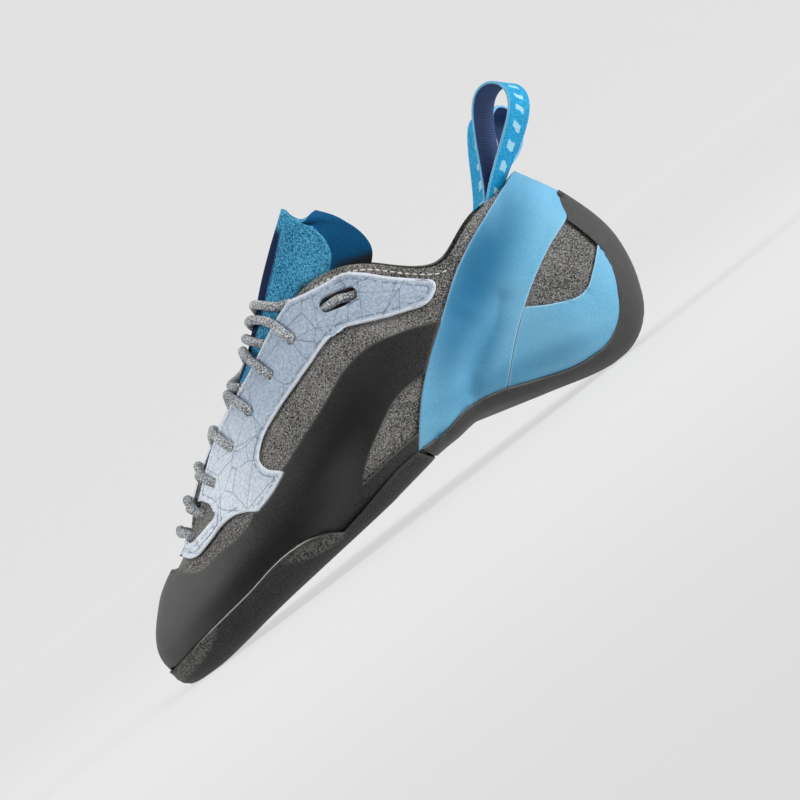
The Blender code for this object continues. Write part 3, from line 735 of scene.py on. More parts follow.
def endMaterial(made, colour, height, distance, strength=1.0):
    tree = made.node_tree
    inputs = tree.nodes["Principled BSDF"].inputs
    tree.links.new(colour, inputs["Base Color"])
    bump = addNode(tree, "Bump", {"Height": height, "Distance": distance, "Strength": strength})
    tree.links.new(bump.outputs["Normal"], inputs["Normal"])
    return made


def blob(tree, coords, centre, reach, turn, soft=0.25):
    # Soft oval patch in the side view, right through the shoe.
    (x, z), (halfLong, halfHigh) = centre, reach
    inputs = {"Vector": coords, "Location": (x, 0.0, z), "Rotation": (0, turn, 0)}
    inputs["Scale"] = (halfLong, blobDepth, halfHigh)
    place = addNode(tree, "Mapping", inputs, vector_type="TEXTURE").outputs["Vector"]
    far = addNode(tree, "VectorMath", {0: place}, operation="LENGTH").outputs["Value"]
    return spread(tree, far, 1 + soft, 1 - soft)


def makeRubber(name, look, patches=(), clouds=(), highlightAreas=()):
    # Each cloud paints shade or light into an oval, and each patch roughens one. Near the border the colour
    # gets a painted highlight, a lighter edge and a pale line, which highlight areas limit.
    made, tree, coords = startMaterial(name, look["roughness"], look["specular"])
    parts = useGroup(tree, rubberGroup, Vector=coords, Scale=look["grainScale"])
    colour = mixed(tree, times(tree, parts["Dust"], look["dusty"]), look["colour"], look["dust"])
    colour = mixed(tree, spread(tree, parts["Grain"], 0.35, 0.7, 0.0, look["fleck"]), colour, look["dust"])
    height = parts["Grain"]
    # Clouds: painted shade and painted light in ovals
    for *oval, share, tint in clouds:
        cover = times(tree, blob(tree, coords, *oval, look["shadingSoft"]), share)
        colour = mixed(tree, cover, colour, tint)
    for oval in patches:
        cover = blob(tree, coords, *oval)
        rough = noise(tree, coords, look["groundScale"], 3.0, 0.7)
        ground = mixed(tree, spread(tree, rough, 0.35, 0.65), look["colour"], look["ground"])
        colour = mixed(tree, cover, colour, ground)
        height = maths(tree, "ADD", height, times(tree, times(tree, rough, cover), look["groundLift"]))
    # Painted highlight along the border: lighter edge colour and a pale line
    edge = attribute(tree, "edge")
    colour = mixed(tree, times(tree, edge, look["edgeShare"]), colour, look["edge"])
    line = spread(tree, edge, 0.55, 0.8, 0.0, look["highlightShare"])
    for oval in highlightAreas:
        line = times(tree, line, blob(tree, coords, *oval))
    return endMaterial(made, mixed(tree, line, colour, look["line"]), height, look["bump"])


def grey(value):
    return rgb(value, value, value)


# The edge and line colours here are painted highlight along the border
toeLook = {
    "colour": grey(34), "dust": rgb(78, 77, 76), "edge": rgb(92, 91, 90), "edgeShare": 0.3,
    "line": rgb(150, 148, 144), "highlightShare": 0.25, "ground": rgb(128, 126, 122), "groundScale": 1100.0,
    "groundLift": 4.0, "shadingSoft": 0.8, "roughness": 0.55, "specular": 0.22, "grainScale": 1500.0,
    "fleck": 0.60, "dusty": 0.45, "bump": 0.0004,
}
# Heel rubber: the same black rubber as the toe, with a lighter base colour as painted light for the brighter
# heel
heelLitLook = dict(toeLook, colour=grey(60), fleck=0.35, specular=0.35)
# Outsole: a strong pale line along its upper edge, painted highlight
soleLook = dict(toeLook, colour=grey(40), dusty=0.22, line=rgb(206, 204, 200), highlightShare=0.75)
blueLook = {
    "colour": rgb(102, 176, 214), "dust": rgb(152, 208, 234), "edge": rgb(166, 212, 236), "edgeShare": 0.4,
    "line": rgb(200, 226, 242), "highlightShare": 0.35, "shadingSoft": 0.8, "roughness": 0.55, "specular": 0.3,
    "grainScale": 1400.0, "fleck": 0.30, "dusty": 0.25, "bump": 0.00010,
}
# Ovals in the side view: middle, half sizes, turn, and for the clouds, which paint shade or light, a share
# and a tint
# Toe rubber: painted highlight on the toe cap's top, painted shade on the rand under the eyestay and just
# above the outsole, and a lighter painted patch low on the rand
toePaintedShading = (
    ((0.186, 0.030), (0.028, 0.020), 0.5, 0.75, rgb(98, 97, 96)),
    ((0.094, 0.042), (0.042, 0.013), 0.42, 0.92, grey(9)),
    ((0.113, 0.026), (0.018, 0.006), 0.50, 0.5, rgb(74, 73, 72)),
    ((0.150, 0.0215), (0.030, 0.005), 0.16, 0.8, grey(16)),
)
# Strap and heel cup: painted shade in the strap's troughs and fold and low down
bluePaintedShading = (
    ((0.0165, 0.0605), (0.027, 0.010), 0.51, 0.9, rgb(34, 114, 158)),
    ((0.0345, 0.0505), (0.022, 0.007), 0.60, 0.7, rgb(34, 114, 158)),
    ((0.036, 0.0345), (0.016, 0.0045), 0.50, 0.55, rgb(48, 128, 172)),
    ((0.030, 0.0200), (0.030, 0.0040), -0.24, 0.45, rgb(48, 128, 172)),
)
# Oval where the outsole's painted highlight line shows
soleHighlightAreas = (((0.160, 0.016), (0.028, 0.012), 0.1),)
solePatches = (((0.192, 0.0088), (0.0125, 0.0032), 0.29), ((0.131, 0.0146), (0.0115, 0.0027), -0.21))
blobDepth = 0.2
blackRubber = makeRubber("blackRubber", toeLook, clouds=toePaintedShading)
heelLitBlack = makeRubber("heelLitBlack", heelLitLook)
blueRubber = makeRubber("blueRubber", blueLook, clouds=bluePaintedShading)
soleBlack = makeRubber("soleBlack", soleLook, solePatches, highlightAreas=soleHighlightAreas)


suedeGloss = 0.25


def makeSuede(name, look):
    made, tree, coords = startMaterial(name, look["roughness"], suedeGloss)
    colours = {"Dark": look["dark"], "Light": look["light"]}
    parts = useGroup(tree, fleckGroup, Vector=coords, Scale=look["scale"], **colours)
    colour = parts["Color"]
    if "ridge" in look:
        colour = tongueColours(tree, colour, look)
    return endMaterial(made, colour, parts["Height"], look["bump"])


def tongueColours(tree, colour, look):
    # Painted shade: a plain dark inside face, a dark strip just beyond the ridge, and dark grey where the
    # upper covers the tongue.
    turn, down = attribute(tree, "turn"), attribute(tree, "long")
    offRidge = size(tree, maths(tree, "ADD", turn, look["ridgeShift"]))
    ridge = times(tree, spread(tree, offRidge, *look["ridgeWide"]), spread(tree, down, *look["ridgeTop"]))
    edges = spread(tree, size(tree, turn), *look["tuckedWide"])
    tucked = times(tree, edges, spread(tree, down, *look["tuckedTop"]))
    for name, share in (("inside", attribute(tree, "inside")), ("ridge", ridge), ("tucked", tucked)):
        colour = mixed(tree, share, colour, look[name])
    return colour


upperLook = {
    "dark": rgb(30, 29, 28), "light": rgb(170, 168, 164), "scale": 1800.0, "roughness": 0.6, "bump": 0.0005,
}
# Tongue: inside, ridge and tucked are painted shade colours
tongueLook = {
    "dark": rgb(4, 88, 138), "light": rgb(100, 196, 230), "scale": 1600.0, "roughness": 0.9, "bump": 0.0005,
    "inside": rgb(8, 92, 142), "ridge": rgb(14, 34, 72), "ridgeShift": 0.02, "ridgeWide": (0.23, 0.17),
    "ridgeTop": (0.05, 0.09), "tucked": rgb(40, 42, 44), "tuckedWide": (0.52, 0.66),
    "tuckedTop": (0.29, 0.34),
}
laceLook = {
    "dark": rgb(84, 90, 94), "light": rgb(240, 242, 244), "scale": 1700.0, "roughness": 0.8, "bump": 0.0005,
}
threadLook = {
    "dark": rgb(190, 186, 176), "light": rgb(240, 236, 226), "scale": 2500.0, "roughness": 0.8,
    "bump": 0.0001,
}
boardLook = {
    "dark": rgb(70, 68, 64), "light": rgb(120, 116, 108), "scale": 900.0, "roughness": 0.9, "bump": 0.0002,
}
upperSuede = makeSuede("upperSuede", upperLook)
tongueSuede = makeSuede("tongueSuede", tongueLook)
laceBraid = makeSuede("laceBraid", laceLook)
paleThread = makeSuede("paleThread", threadLook)
insoleBoard = makeSuede("insoleBoard", boardLook)
webbingLook = {
    "outside": rgb(16, 178, 226), "outsideDeep": rgb(0, 132, 192), "print": rgb(176, 228, 244),
    "inside": rgb(26, 54, 104), "insideRib": rgb(64, 96, 150), "selvedge": rgb(150, 205, 232), "rib": 0.00062,
    "roughness": 0.62, "specular": 0.4, "bump": 0.00022, "strength": 0.35, "fleckScale": 1500.0,
    "dashPitch": 0.0066, "dashSlant": 0.7, "dashWander": 0.5, "wanderScale": 160.0, "dashStart": (0.36, 0.42),
    "dashEnd": (0.78, 0.72), "dashWide": (0.22, 0.17), "dashShare": 0.85, "edgeWide": (0.45, 0.49),
    "edgeShares": (0.1, 0.6),
}


def makeWebbing(look):
    made, tree, coords = startMaterial("webbing", look["roughness"], look["specular"])
    run, across, inside = (attribute(tree, name) for name in ("run", "across", "inside"))
    rib = maths(tree, "SINE", times(tree, run, 2 * math.pi / look["rib"]))
    fleck = noise(tree, coords, look["fleckScale"], 2.0)
    outside = mixed(tree, spread(tree, fleck, 0.35, 0.65), look["outsideDeep"], look["outside"])
    slant = times(tree, across, look["dashSlant"])
    slant = maths(tree, "ADD", times(tree, run, 1 / look["dashPitch"]), slant)
    wander = times(tree, noise(tree, coords, look["wanderScale"], 1.0), look["dashWander"])
    dash = maths(tree, "ADD", maths(tree, "FRACT", slant), wander)
    bars = times(tree, spread(tree, dash, *look["dashEnd"]), spread(tree, dash, *look["dashStart"]))
    bars = times(tree, bars, spread(tree, size(tree, across), *look["dashWide"]))
    outside = mixed(tree, times(tree, bars, look["dashShare"]), outside, look["print"])
    ribbed = mixed(tree, spread(tree, rib, -1.0, 1.0), look["inside"], look["insideRib"])
    border = spread(tree, size(tree, across), *look["edgeWide"])
    border = times(tree, border, spread(tree, inside, 1.0, 0.0, *look["edgeShares"]))
    colour = mixed(tree, border, mixed(tree, inside, outside, ribbed), look["selvedge"])
    return endMaterial(made, colour, rib, look["bump"], look["strength"])


webbing = makeWebbing(webbingLook)
# Eyestay: paleToe and shadeToe are painted light, lighter tones towards the toe end; edge is a painted
# highlight along the rim
eyestayLook = {
    "pale": rgb(184, 198, 214), "shade": rgb(153, 170, 189), "paleToe": rgb(240, 246, 252),
    "shadeToe": rgb(208, 220, 234), "litToeward": (0.108, 0.150), "line": rgb(84, 96, 122),
    "edge": rgb(236, 241, 248), "edgeWide": (0.0016, 0.0006), "seamStart": (0.0019, 0.0023),
    "seamEnd": (0.0029, 0.0025), "seamShare": 0.6, "gapScale": 520.0, "gaps": (0.44, 0.50), "edgeShare": 0.7,
    "grainScale": 1000.0, "grain": (0.38, 0.66), "roughness": 0.6, "specular": 0.35, "bump": 0.0003,
}
# Each web of printed lines: scale, line width, share
eyestayWebs = ((68.0, 0.016, 0.8), (41.0, 0.010, 0.7))


def makeEyestayMaterial(look):
    made, tree, coords = startMaterial("eyestayPrint", look["roughness"], look["specular"])
    fine = noise(tree, coords, look["grainScale"], 3.0, 0.6)
    # Painted light: tones blend to lighter ones towards the toe end
    litToeward = spread(tree, axis(tree, coords, "X"), *look["litToeward"])
    shade, pale = (mixed(tree, litToeward, look[name], look[name + "Toe"]) for name in ("shade", "pale"))
    colour = mixed(tree, spread(tree, fine, *look["grain"]), shade, pale)
    for scale, width, share in eyestayWebs:
        lines = useGroup(tree, webGroup, Vector=coords, Scale=scale, Width=width)["Lines"]
        colour = mixed(tree, times(tree, lines, share), colour, look["line"])
    inward = attribute(tree, "depth")
    seam = times(tree, spread(tree, inward, *look["seamStart"]), spread(tree, inward, *look["seamEnd"]))
    gaps = spread(tree, noise(tree, coords, look["gapScale"], 0.0), *look["gaps"])
    colour = mixed(tree, times(tree, times(tree, seam, gaps), look["seamShare"]), colour, look["line"])
    # Painted highlight: a lighter rim along the border
    edge = spread(tree, inward, *look["edgeWide"], 0.0, look["edgeShare"])
    colour = mixed(tree, edge, colour, look["edge"])
    return endMaterial(made, colour, fine, look["bump"])


eyestayPrint = makeEyestayMaterial(eyestayLook)
print("materials made")

# Panels
thickness = {
    "upper": 0.0020, "eyestay": 0.0013, "strap": 0.0015, "cup": 0.0013, "toe": 0.0018, "heel": 0.0030,
    "outsole": 0.0045,
}
upperShape = {"upFrom": 1.5, "drop": 0.0007}
areas = {key: prism(key, border) for key, border in borders.items() if key != "heelCup"}
areas["outerCup"] = prism("outerCup", borders["heelCup"], 0, 1)
areas["innerCup"] = prism("innerCup", borders["heelCup"], -1, 0)
cutters = {key: areas.pop(key) for key in ("sideWindow", "throatNotch")}
for key in ("eyestay", "strap", "outsole", "heelRubber"):
    cutters[key] = prism(key + "Clear", borders[key], grow=cutterReach["clear"])
cutters.update(pins=holePins(), block=floorBlock())


def addPanel(name, material, slot, node, key, area, away=(), drop=0.0006, band=0.0, groove=None, holes=()):
    wall = thickness[key]
    mesh = carve(name, wall, areas[area], [cutters[other] for other in away], band)
    mesh = roundBorder(mesh, layerGap + wall, wall, drop, groove, holes)
    return addPiece(name, mesh, material, slot, node)


stitchGroove = {"depth": 0.0004, "place": 0.0024, "width": 0.0006}
holeSpots = [(onShoe(*hole, side)[0], holeShape["apart"]) for side in (1, -1) for hole in eyelets[2:]]
holeSpots += [(onSlot(share, side)[0], holeShape["slotApart"]) for side in (1, -1) for share in (0, 0.5, 1)]
addPanel("eyestayPanel", eyestayPrint, "eyestay", "eyestay", "eyestay", "eyestay", ("pins", "throatNotch"),
         groove=stitchGroove, holes=holeSpots)
addPanel("strapPanel", blueRubber, "blue_rubber", "tension_strap", "strap", "strap")
for side in ("outer", "inner"):
    addPanel(side + "CupPanel", blueRubber, "blue_rubber", "heel_cup_" + side, "cup", side + "Cup",
             ("strap", "heelRubber"), drop=0.0002)
addPanel("toeRubberPanel", blackRubber, "black_rubber", "toe_rubber", "toe", "toeRubber",
         ("eyestay", "strap", "outsole", "heelRubber", "sideWindow"), drop=0.0007)
addPanel("outsolePanel", soleBlack, "sole_rubber", "outsole", "outsole", "outsole", ("block",),
         drop=0.0009, band=0.66)
addPanel("heelRubberPanel", heelLitBlack, "black_rubber", "heel_rubber", "heel", "heelRubber",
         ("strap", "outsole", "block"), drop=0.0008, band=1.0)

wall = thickness["upper"]
upperMesh = carve("upperShell", wall, None, [cutters["pins"]], outward=False, upFrom=upperShape["upFrom"])
upperMesh = roundBorder(upperMesh, 0.0, wall, upperShape["drop"])
addPiece("upperShell", upperMesh, upperSuede, "upper", "upper")
for cutter in (*areas.values(), *cutters.values()):
    bpy.data.objects.remove(cutter, do_unlink=True)
print("panels made")

# Tongue: rails in the side view from its free top to the toe end. Each station holds, from the far edge over
# the ridge to the near edge, the distance from the back of the heel, sideways place and height in mm
tongueRails = (
    ((85.6, -16.3, 113), (90.8, -9, 114.6), (94.2, 0, 122), (93.2, 5.5, 116), (90.2, 11, 109.8)),
    ((79.4, -19, 105), (90, -13, 112), (103, 0, 115.4), (97, 8, 109), (89.1, 14, 103.5)),
    ((76.3, -20, 96.2), (90.5, -14.5, 103), (110.3, 0, 109.9), (101.5, 9, 102.5), (90.5, 15.2, 97.6)),
    ((76.5, -19, 89.5), (93.5, -14.5, 96), (117.6, -1.5, 104.2), (107.5, 9.2, 97), (94.5, 14.8, 93)),
    ((83, -18.5, 83), (102, -13.5, 88.5), (127.6, -2.8, 95.3), (117.5, 7.4, 90), (102.5, 13, 85.5)),
    ((132, -20.5, 71), (136, -12.6, 80.5), (138.2, -3.8, 86.2), (136, 5.2, 80.5), (132, 13, 71)),
    ((147, -21, 63.5), (150.5, -13.8, 72.8), (152, -5.6, 77), (150.5, 2.6, 72.8), (147, 10, 63.5)),
    ((160.5, -22, 55), (164, -14.8, 63.2), (165, -7.2, 66.4), (164, 0.6, 63.2), (160.5, 8, 55)),
    ((174, -23, 46), (177, -16.2, 53.6), (178, -9, 55.8), (177, -1.8, 53.6), (174, 5, 46)),
    ((185, -24, 38.5), (187.5, -17.6, 45.2), (188, -10.6, 46.8), (187.5, -3.2, 45.2), (185, 3, 38.5)),
    ((194.5, -22.5, 32), (196.5, -17.2, 37), (197, -10.9, 38.3), (196.5, -4.6, 37), (194.5, 1, 32)),
)
tongueShape = {
    "thickness": 0.0020, "long": 100, "across": 48, "edgeRound": 0.0006, "edgeSteps": 3, "clamp": True,
}


def tonguePoints(longShare, turn):
    # longShare runs 0 to 1 from the top, turn -1 to 1 from the far edge to the near one.
    rails = np.array(tongueRails) * mm
    stations = np.array([along(rails[:, k], longShare * (len(rails) - 1)) for k in range(5)])
    points = np.array([along(stations[:, k], (turn[k] + 1) * 2) for k in range(len(turn))])
    return points - np.array([heelSpot, 0, 0])


def thicken(form, shape):
    # Gives a sheet its second face, marks that as inside and rounds the edges.
    insideLayer = form.faces.layers.float.new("inside")
    made = bmesh.ops.solidify(form, geom=form.faces[:], thickness=shape["thickness"])
    bmesh.ops.recalc_face_normals(form, faces=form.faces)
    for part in made["geom"]:
        if isinstance(part, bmesh.types.BMFace):
            part[insideLayer] = 1.0
    sharp = [edge for edge in form.edges if edge.calc_face_angle(0.0) > 1.0]
    bmesh.ops.bevel(form, geom=sharp, offset=shape["edgeRound"], offset_type="OFFSET", profile=0.5,
                    segments=shape["edgeSteps"], affect="EDGES", clamp_overlap=shape["clamp"], material=-1)


def makeTongue():
    sheet = bmesh.new()
    bmesh.ops.create_grid(sheet, x_segments=tongueShape["long"], y_segments=tongueShape["across"], size=0.5)
    shares = np.array([vert.co.x + 0.5 for vert in sheet.verts])
    turns = np.array([vert.co.y * 2 for vert in sheet.verts])
    turnLayer = sheet.verts.layers.float.new("turn")
    longLayer = sheet.verts.layers.float.new("long")
    for vert, point, turn, share in zip(sheet.verts, tonguePoints(shares, turns), turns, shares):
        vert.co = point
        vert[turnLayer] = turn
        vert[longLayer] = share
    faceOut(sheet, Vector((1, 0, 0)))
    thicken(sheet, tongueShape)
    addPiece("tongueFlap", finished(sheet, "tongueFlap"), tongueSuede, "tongue", "tongue")


makeTongue()

# Lace: both halves of one cord, from the bar at the toe end up through the eyelets
laceShape = {
    "radius": 0.0018, "roundness": 4, "steps": 12, "over": 0.0015, "under": 0.0024, "leaves": 0.45,
    "arrives": 0.12, "barAhead": 4.0, "topEdge": 110.8, "tongueLift": 0.0012, "ridgeGap": 0.0004,
    "holeLift": 0.0002,
}
# Points at an eyelet: how far short of it and how far over or under the wall, both in radii
beforeHole, behindHole = (1.3, 0.75), (0.3, 0.7)
# Where the strands to and from a near eyelet cross the tongue's ridge in mm, or 0 for a straight crossing
ridgePlaces = ((0, 0), (0, 0), (0, 0), (0, 0), (152.6, 148.8), (137.4, 133.6), (128.6, 123.2))
# Points of a strand on the tongue: lead on the ridge place in mm, turn on the tongue, lift in radii
tautStrand = ((0.0, 0.0, 1.0),)
slackStrand = ((-3.7, 0.45, 1.0), (0.0, 0.0, 1.0), (-7.2, -0.5, 3.0))
topStrand = ((-6.4, 0.42, 1.0), (0.0, 0.05, 1.0), (-3.0, -0.45, 0.6))
# Places along the slot with their heights in mm
slotRun = ((-0.35, -1.9), (0.12, -0.9), (0.5, 0.35), (0.86, -0.6), (1.25, -2.6))


def overTongue(first, second):
    middle = (first + second) / 2
    ridge = np.array([station[2] for station in tongueRails]) * mm
    ridgeHeight = float(np.interp(middle.x + heelSpot, ridge[:, 0], ridge[:, 2]))
    clear = ridgeHeight + laceShape["radius"] + laceShape["ridgeGap"]
    middle.z = max(middle.z + laceShape["tongueLift"], clear)
    return middle


def onTongue(x, turn, lift):
    # Place over the tongue's outer face, from its distance along the foot and its turn.
    shares = np.linspace(0.2, 1, 160)
    line = tonguePoints(shares, np.full(len(shares), turn))
    share = shares[np.argmin(abs(line[:, 0] + heelSpot - x))]
    shares, turns = np.array([share, share + 0.01, share]), np.array([turn, turn, turn + 0.05])
    place, ahead, aside = tonguePoints(shares, turns)
    normal = Vector(np.cross(ahead - place, aside - place)).normalized()
    if normal.z < 0:
        normal.negate()
    return Vector(place) + normal * lift


def strand(x, spots):
    return [onTongue((x + lead) * mm, turn, lift * laceShape["radius"]) for lead, turn, lift in spots]


def overEdge(x, side):
    edge, normal = onThroat(x, side)
    return edge + normal * (laceShape["over"] + laceShape["radius"])


def underEdge(x, side):
    edge, normal = onThroat(x, side)
    return edge - normal * (laceShape["under"] + laceShape["radius"])


def throughHole(place, normal, toward):
    radius = laceShape["radius"]
    (before, lift), (behind, drop) = beforeHole, behindHole
    return [
        place - toward * radius * before + normal * (laceShape["over"] + radius * lift),
        place + normal * laceShape["holeLift"],
        place - toward * radius * behind - normal * (laceShape["under"] + radius * drop),
    ]


def laceRoute(side):
    # Over the throat's edge, down through an eyelet, out from under the edge and across to the other side.
    route = []
    for index, (x, z) in enumerate(eyelets):
        last = eyelets[index - 1][0] if index else x + laceShape["barAhead"]
        arrival = x + (last - x) * laceShape["arrives"]
        place, normal = onShoe(x, z, side)
        over = overEdge(arrival, side)
        if side > 0 and ridgePlaces[index][0]:
            route += strand(ridgePlaces[index][0], tautStrand)
        elif side < 0 and index and ridgePlaces[index - 1][1]:
            route += strand(ridgePlaces[index - 1][1], slackStrand)
        else:
            route.append(overTongue(route[-1] if index else overEdge(x, -side), over))
        toward = (place - onThroat(arrival, side)[0]).normalized()
        route += [over, *throughHole(place, normal, toward)]
        if index + 1 < len(eyelets):
            route.append(underEdge(x + (eyelets[index + 1][0] - x) * laceShape["leaves"], side))
            side = -side
    for share, height in slotRun if side < 0 else slotRun[::-1]:
        place, normal = onSlot(share, side)
        route.append(place + normal * height * mm)
    if side > 0:
        route.append(underEdge(laceShape["topEdge"], side))
        route += strand(ridgePlaces[-1][1], topStrand)
        route.append(underEdge(eyelets[-1][0], -side))
    return route


def laceTube(name, route):
    cord = bpy.data.curves.new(name, "CURVE")
    cord.dimensions = "3D"
    cord.bevel_depth = laceShape["radius"]
    cord.bevel_resolution = laceShape["roundness"]
    cord.use_fill_caps = True
    spline = cord.splines.new("POLY")
    places = np.arange(0, len(route) - 1 + 1e-6, 1 / laceShape["steps"])
    points = along([tuple(place) for place in route], places)
    spline.points.add(len(points) - 1)
    for point, place in zip(spline.points, points):
        point.co = (*place, 1.0)
    return weld(toMesh(linked(name, cord)))


cord = bmesh.new()
for side in (1, -1):
    cord.from_mesh(laceTube("laceHalf", laceRoute(side)))
addPiece("laceCord", finished(cord, "lace"), laceBraid, "lace", "lace")

# Pull loops of twisted tape
loopShape = {
    "width": 0.0125, "thickness": 0.0011, "length": 0.0443, "opening": 0.0205, "foot": 0.0008,
    "inset": 0.0040, "seat": -0.0055, "turn": 40, "turnLift": 0.6, "fullness": 0.6, "span": 1.1, "steps": 72,
    "across": 8, "runShare": 2.3, "edgeRound": 0.0003, "edgeSteps": 2, "clamp": False,
}


def makeLoop(name, node, side, place, lean, splay):
    # Tape from two places on the collar's edge, with its lean back and splay sideways in degrees.
    spots = place + loopShape["span"] * np.array([-0.5, 0.5])
    if side < 0:
        spots = rows - spots
    back, front = (Vector(p) for p in lastPoints(spots, np.full(2, rimLevel)))
    lean, splay, turn = math.radians(lean), math.radians(splay), math.radians(loopShape["turn"])
    upright = Vector((-math.sin(lean), 0, math.cos(lean)))
    rise = upright * math.cos(splay) + Vector((0, side * math.sin(splay), 0))
    aside = Vector((-math.cos(lean), 0, -math.sin(lean)))
    away = aside.cross(rise) * side
    footWidth = (front - back).normalized()
    footOutward = upright.cross(footWidth) * side
    topOutward = aside * math.cos(turn) + away * math.sin(turn)
    topWidth = rise.cross(topOutward) * -side
    base = (back + front) / 2 - footOutward * loopShape["inset"] + rise * loopShape["seat"]
    tape = bmesh.new()
    bmesh.ops.create_grid(tape, x_segments=loopShape["steps"], y_segments=loopShape["across"], size=0.5)
    runLayer = tape.verts.layers.float.new("run")
    acrossLayer = tape.verts.layers.float.new("across")
    for vert in tape.verts:
        run, across = vert.co.x, vert.co.y
        angle = run * 2 * math.pi
        lift = math.cos(angle / 2)
        waist = loopShape["opening"] / 2 * math.sin(angle) * lift ** loopShape["fullness"]
        waist += loopShape["foot"] * math.sin(angle / 2)
        turned = min(1.0, lift / loopShape["turnLift"])
        outward = footOutward.lerp(topOutward, turned).normalized()
        width = footWidth.lerp(topWidth, turned).normalized()
        vert.co = base + outward * waist + rise * lift * loopShape["length"]
        vert.co += width * across * loopShape["width"]
        vert[runLayer] = run * loopShape["runShare"] * loopShape["length"]
        vert[acrossLayer] = across
    faceOut(tape, rise)
    thicken(tape, loopShape)
    addPiece(name, finished(tape, name), webbing, "webbing", node)


makeLoop("outerPullLoop", "pull_loop_outer", 1, 1.25, 42, 0)
makeLoop("innerPullLoop", "pull_loop_inner", -1, 1.6, 48, 40)

# Stitching: short threads laid along a line on the shoe
stitchShape = {
    "length": 0.0020, "gap": 0.0008, "radius": 0.00042, "places": (3.05, 4.95), "below": 0.0034,
    "lift": 0.0001, "samples": 160, "reach": 0.6, "steps": 60,
}


def runLengths(points):
    return np.concatenate([[0], np.cumsum(np.linalg.norm(np.diff(points, axis=0), axis=1))])


def placeAt(run, lengths, points):
    return [np.interp(run, lengths, points[:, k]) for k in range(3)]


def collarLine(side):
    # Line at an even distance under the collar's edge.
    rounds = np.linspace(*stitchShape["places"], stitchShape["samples"])
    ups = np.linspace(rimLevel, rimLevel - stitchShape["reach"], stitchShape["steps"])
    line = []
    for place in rounds if side > 0 else rows - rounds:
        column = lastPoints(np.full(len(ups), place), ups)
        line.append(placeAt(stitchShape["below"], runLengths(column), column))
    return np.array(line)


def addStitches(form, line):
    lengths = runLengths(line)
    long, radius = stitchShape["length"], stitchShape["radius"]
    pitch = long + stitchShape["gap"]
    for start in np.arange(0, lengths[-1] - pitch, pitch):
        first, second = (Vector(placeAt(run, lengths, line)) for run in (start, start + long))
        middle, normal = onSheet((first + second) / 2)
        tangent = (second - first).normalized()
        normal = (normal - tangent * normal.dot(tangent)).normalized()
        turn = Matrix((tangent, normal.cross(tangent), normal)).transposed().to_4x4()
        turn.translation = middle + normal * stitchShape["lift"]
        turn = turn @ Matrix.Diagonal((long / 2, radius, radius, 1.0))
        bmesh.ops.create_uvsphere(form, u_segments=8, v_segments=6, radius=1.0, matrix=turn)


threads = bmesh.new()
for side in (1, -1):
    addStitches(threads, collarLine(side))
addPiece("collarStitches", finished(threads, "collarStitches"), paleThread, "upper")

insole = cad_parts["insole"]
insole.data.materials.clear()
insole.data.materials.append(insoleBoard)

# Light, floor and camera
studio = {
    "roll": 37.6, "elevation": 1.5, "lens": 300.0, "width": 0.3008, "aim": (0.0727, 0.0, 0.0378),
    "floor": (0.18, 0.18, 0.18, 1.0), "glowNear": (0.61, 0.61, 0.61, 1.0), "glowFar": (0.69, 0.69, 0.69, 1.0),
    "ambient": 0.08, "sensor": 36.0, "sight": 50.0,
}
sweepShape = {
    "width": 12, "front": 5.0, "back": 2.0, "radius": 1.2, "wall": 4.0, "steps": 60, "fade": (0.2, -2.6),
}
# Each lamp: name, place, size, power
lamps = (
    ("toeSide", (0.85, 0.20, 1.05), 0.6, 9.5),
    ("heelSide", (-1.25, 0.40, 0.35), 0.6, 14.0),
    ("top", (-0.60, 0.55, 1.20), 0.8, 5.0),
    ("front", (0.20, 1.80, 0.50), 1.0, 1.0),
)


def addLight(name, place, wide, power):
    lamp = bpy.data.lights.new(name, "AREA")
    lamp.energy = power
    lamp.size = wide
    made = linked(name, lamp)
    made.location = place
    made.rotation_euler = (Vector(studio["aim"]) - Vector(place)).to_track_quat("-Z", "Y").to_euler()


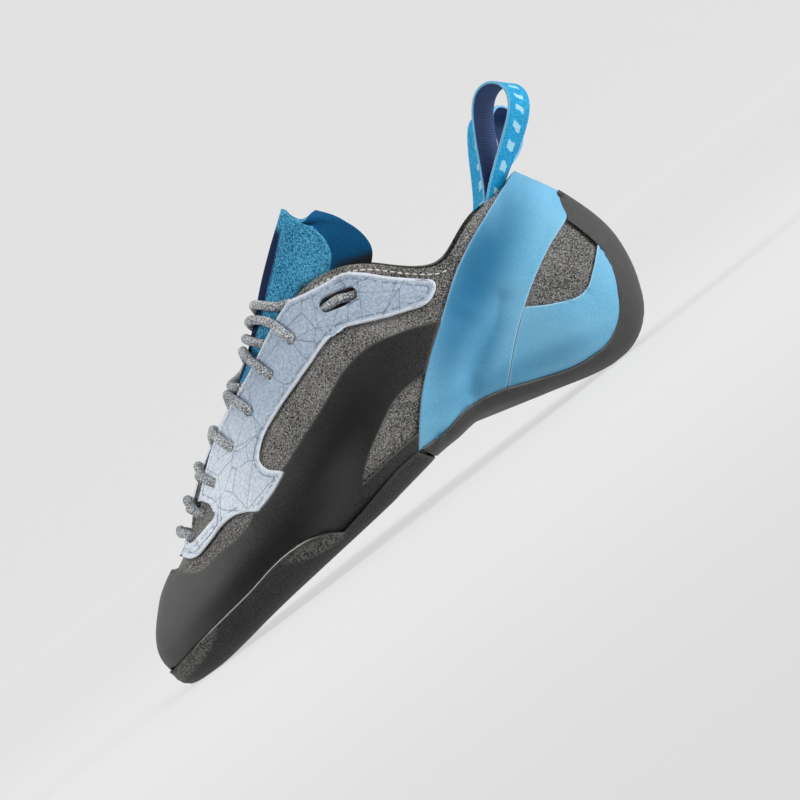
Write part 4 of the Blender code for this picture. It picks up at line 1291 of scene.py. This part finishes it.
def makeStage():
    sweep = bmesh.new()
    bmesh.ops.create_grid(sweep, x_segments=1, y_segments=sweepShape["steps"], size=0.5)
    radius, front = sweepShape["radius"], sweepShape["front"]
    bend = front + sweepShape["back"]
    top = bend + radius * math.pi / 2
    for vert in sweep.verts:
        run = (vert.co.y + 0.5) * (top + sweepShape["wall"])
        turn = min(max((run - bend) / radius, 0.0), math.pi / 2)
        y = front - min(run, bend) - radius * math.sin(turn)
        z = radius * (1 - math.cos(turn)) + max(run - top, 0.0)
        vert.co = (vert.co.x * sweepShape["width"], y, z)
    mesh = finished(sweep, "studioSweep")
    paper, tree, coords = startMaterial("studioPaper", 0.9, 0.1)
    inputs = tree.nodes["Principled BSDF"].inputs
    inputs["Base Color"].default_value = studio["floor"]
    inputs["Emission Strength"].default_value = 1.0
    fade = spread(tree, axis(tree, coords, "Y"), *sweepShape["fade"])
    tree.links.new(mixed(tree, fade, studio["glowNear"], studio["glowFar"]), inputs["Emission Color"])
    mesh.materials.append(paper)
    mesh.shade_smooth()
    made = linked("studioSweep", mesh)


def makeCamera():
    camera = bpy.data.cameras.new("camera")
    camera.lens = studio["lens"]
    camera.sensor_width = studio["sensor"]
    camera.clip_end = studio["sight"]
    made = linked("camera", camera)
    tilt, roll = math.radians(studio["elevation"]), math.radians(studio["roll"])
    back = Vector((0, math.cos(tilt), math.sin(tilt)))
    level = Vector((-1, 0, 0))
    upright = back.cross(level)
    right = level * math.cos(roll) - upright * math.sin(roll)
    up = level * math.sin(roll) + upright * math.cos(roll)
    turn = Matrix((right, up, back)).transposed().to_4x4()
    away = studio["width"] * studio["lens"] / studio["sensor"]
    turn.translation = Vector(studio["aim"]) + back * away
    made.matrix_world = turn
    bpy.context.scene.camera = made


makeStage()
makeCamera()
for lamp in lamps:
    addLight(*lamp)
world = bpy.data.worlds.new("studio")
world.use_nodes = True
glow = world.node_tree.nodes["Background"].inputs
glow["Color"].default_value = (1.0, 1.0, 1.0, 1.0)
glow["Strength"].default_value = studio["ambient"]
bpy.context.scene.world = world
bpy.context.scene.view_settings.view_transform = "Standard"
print("studio made")
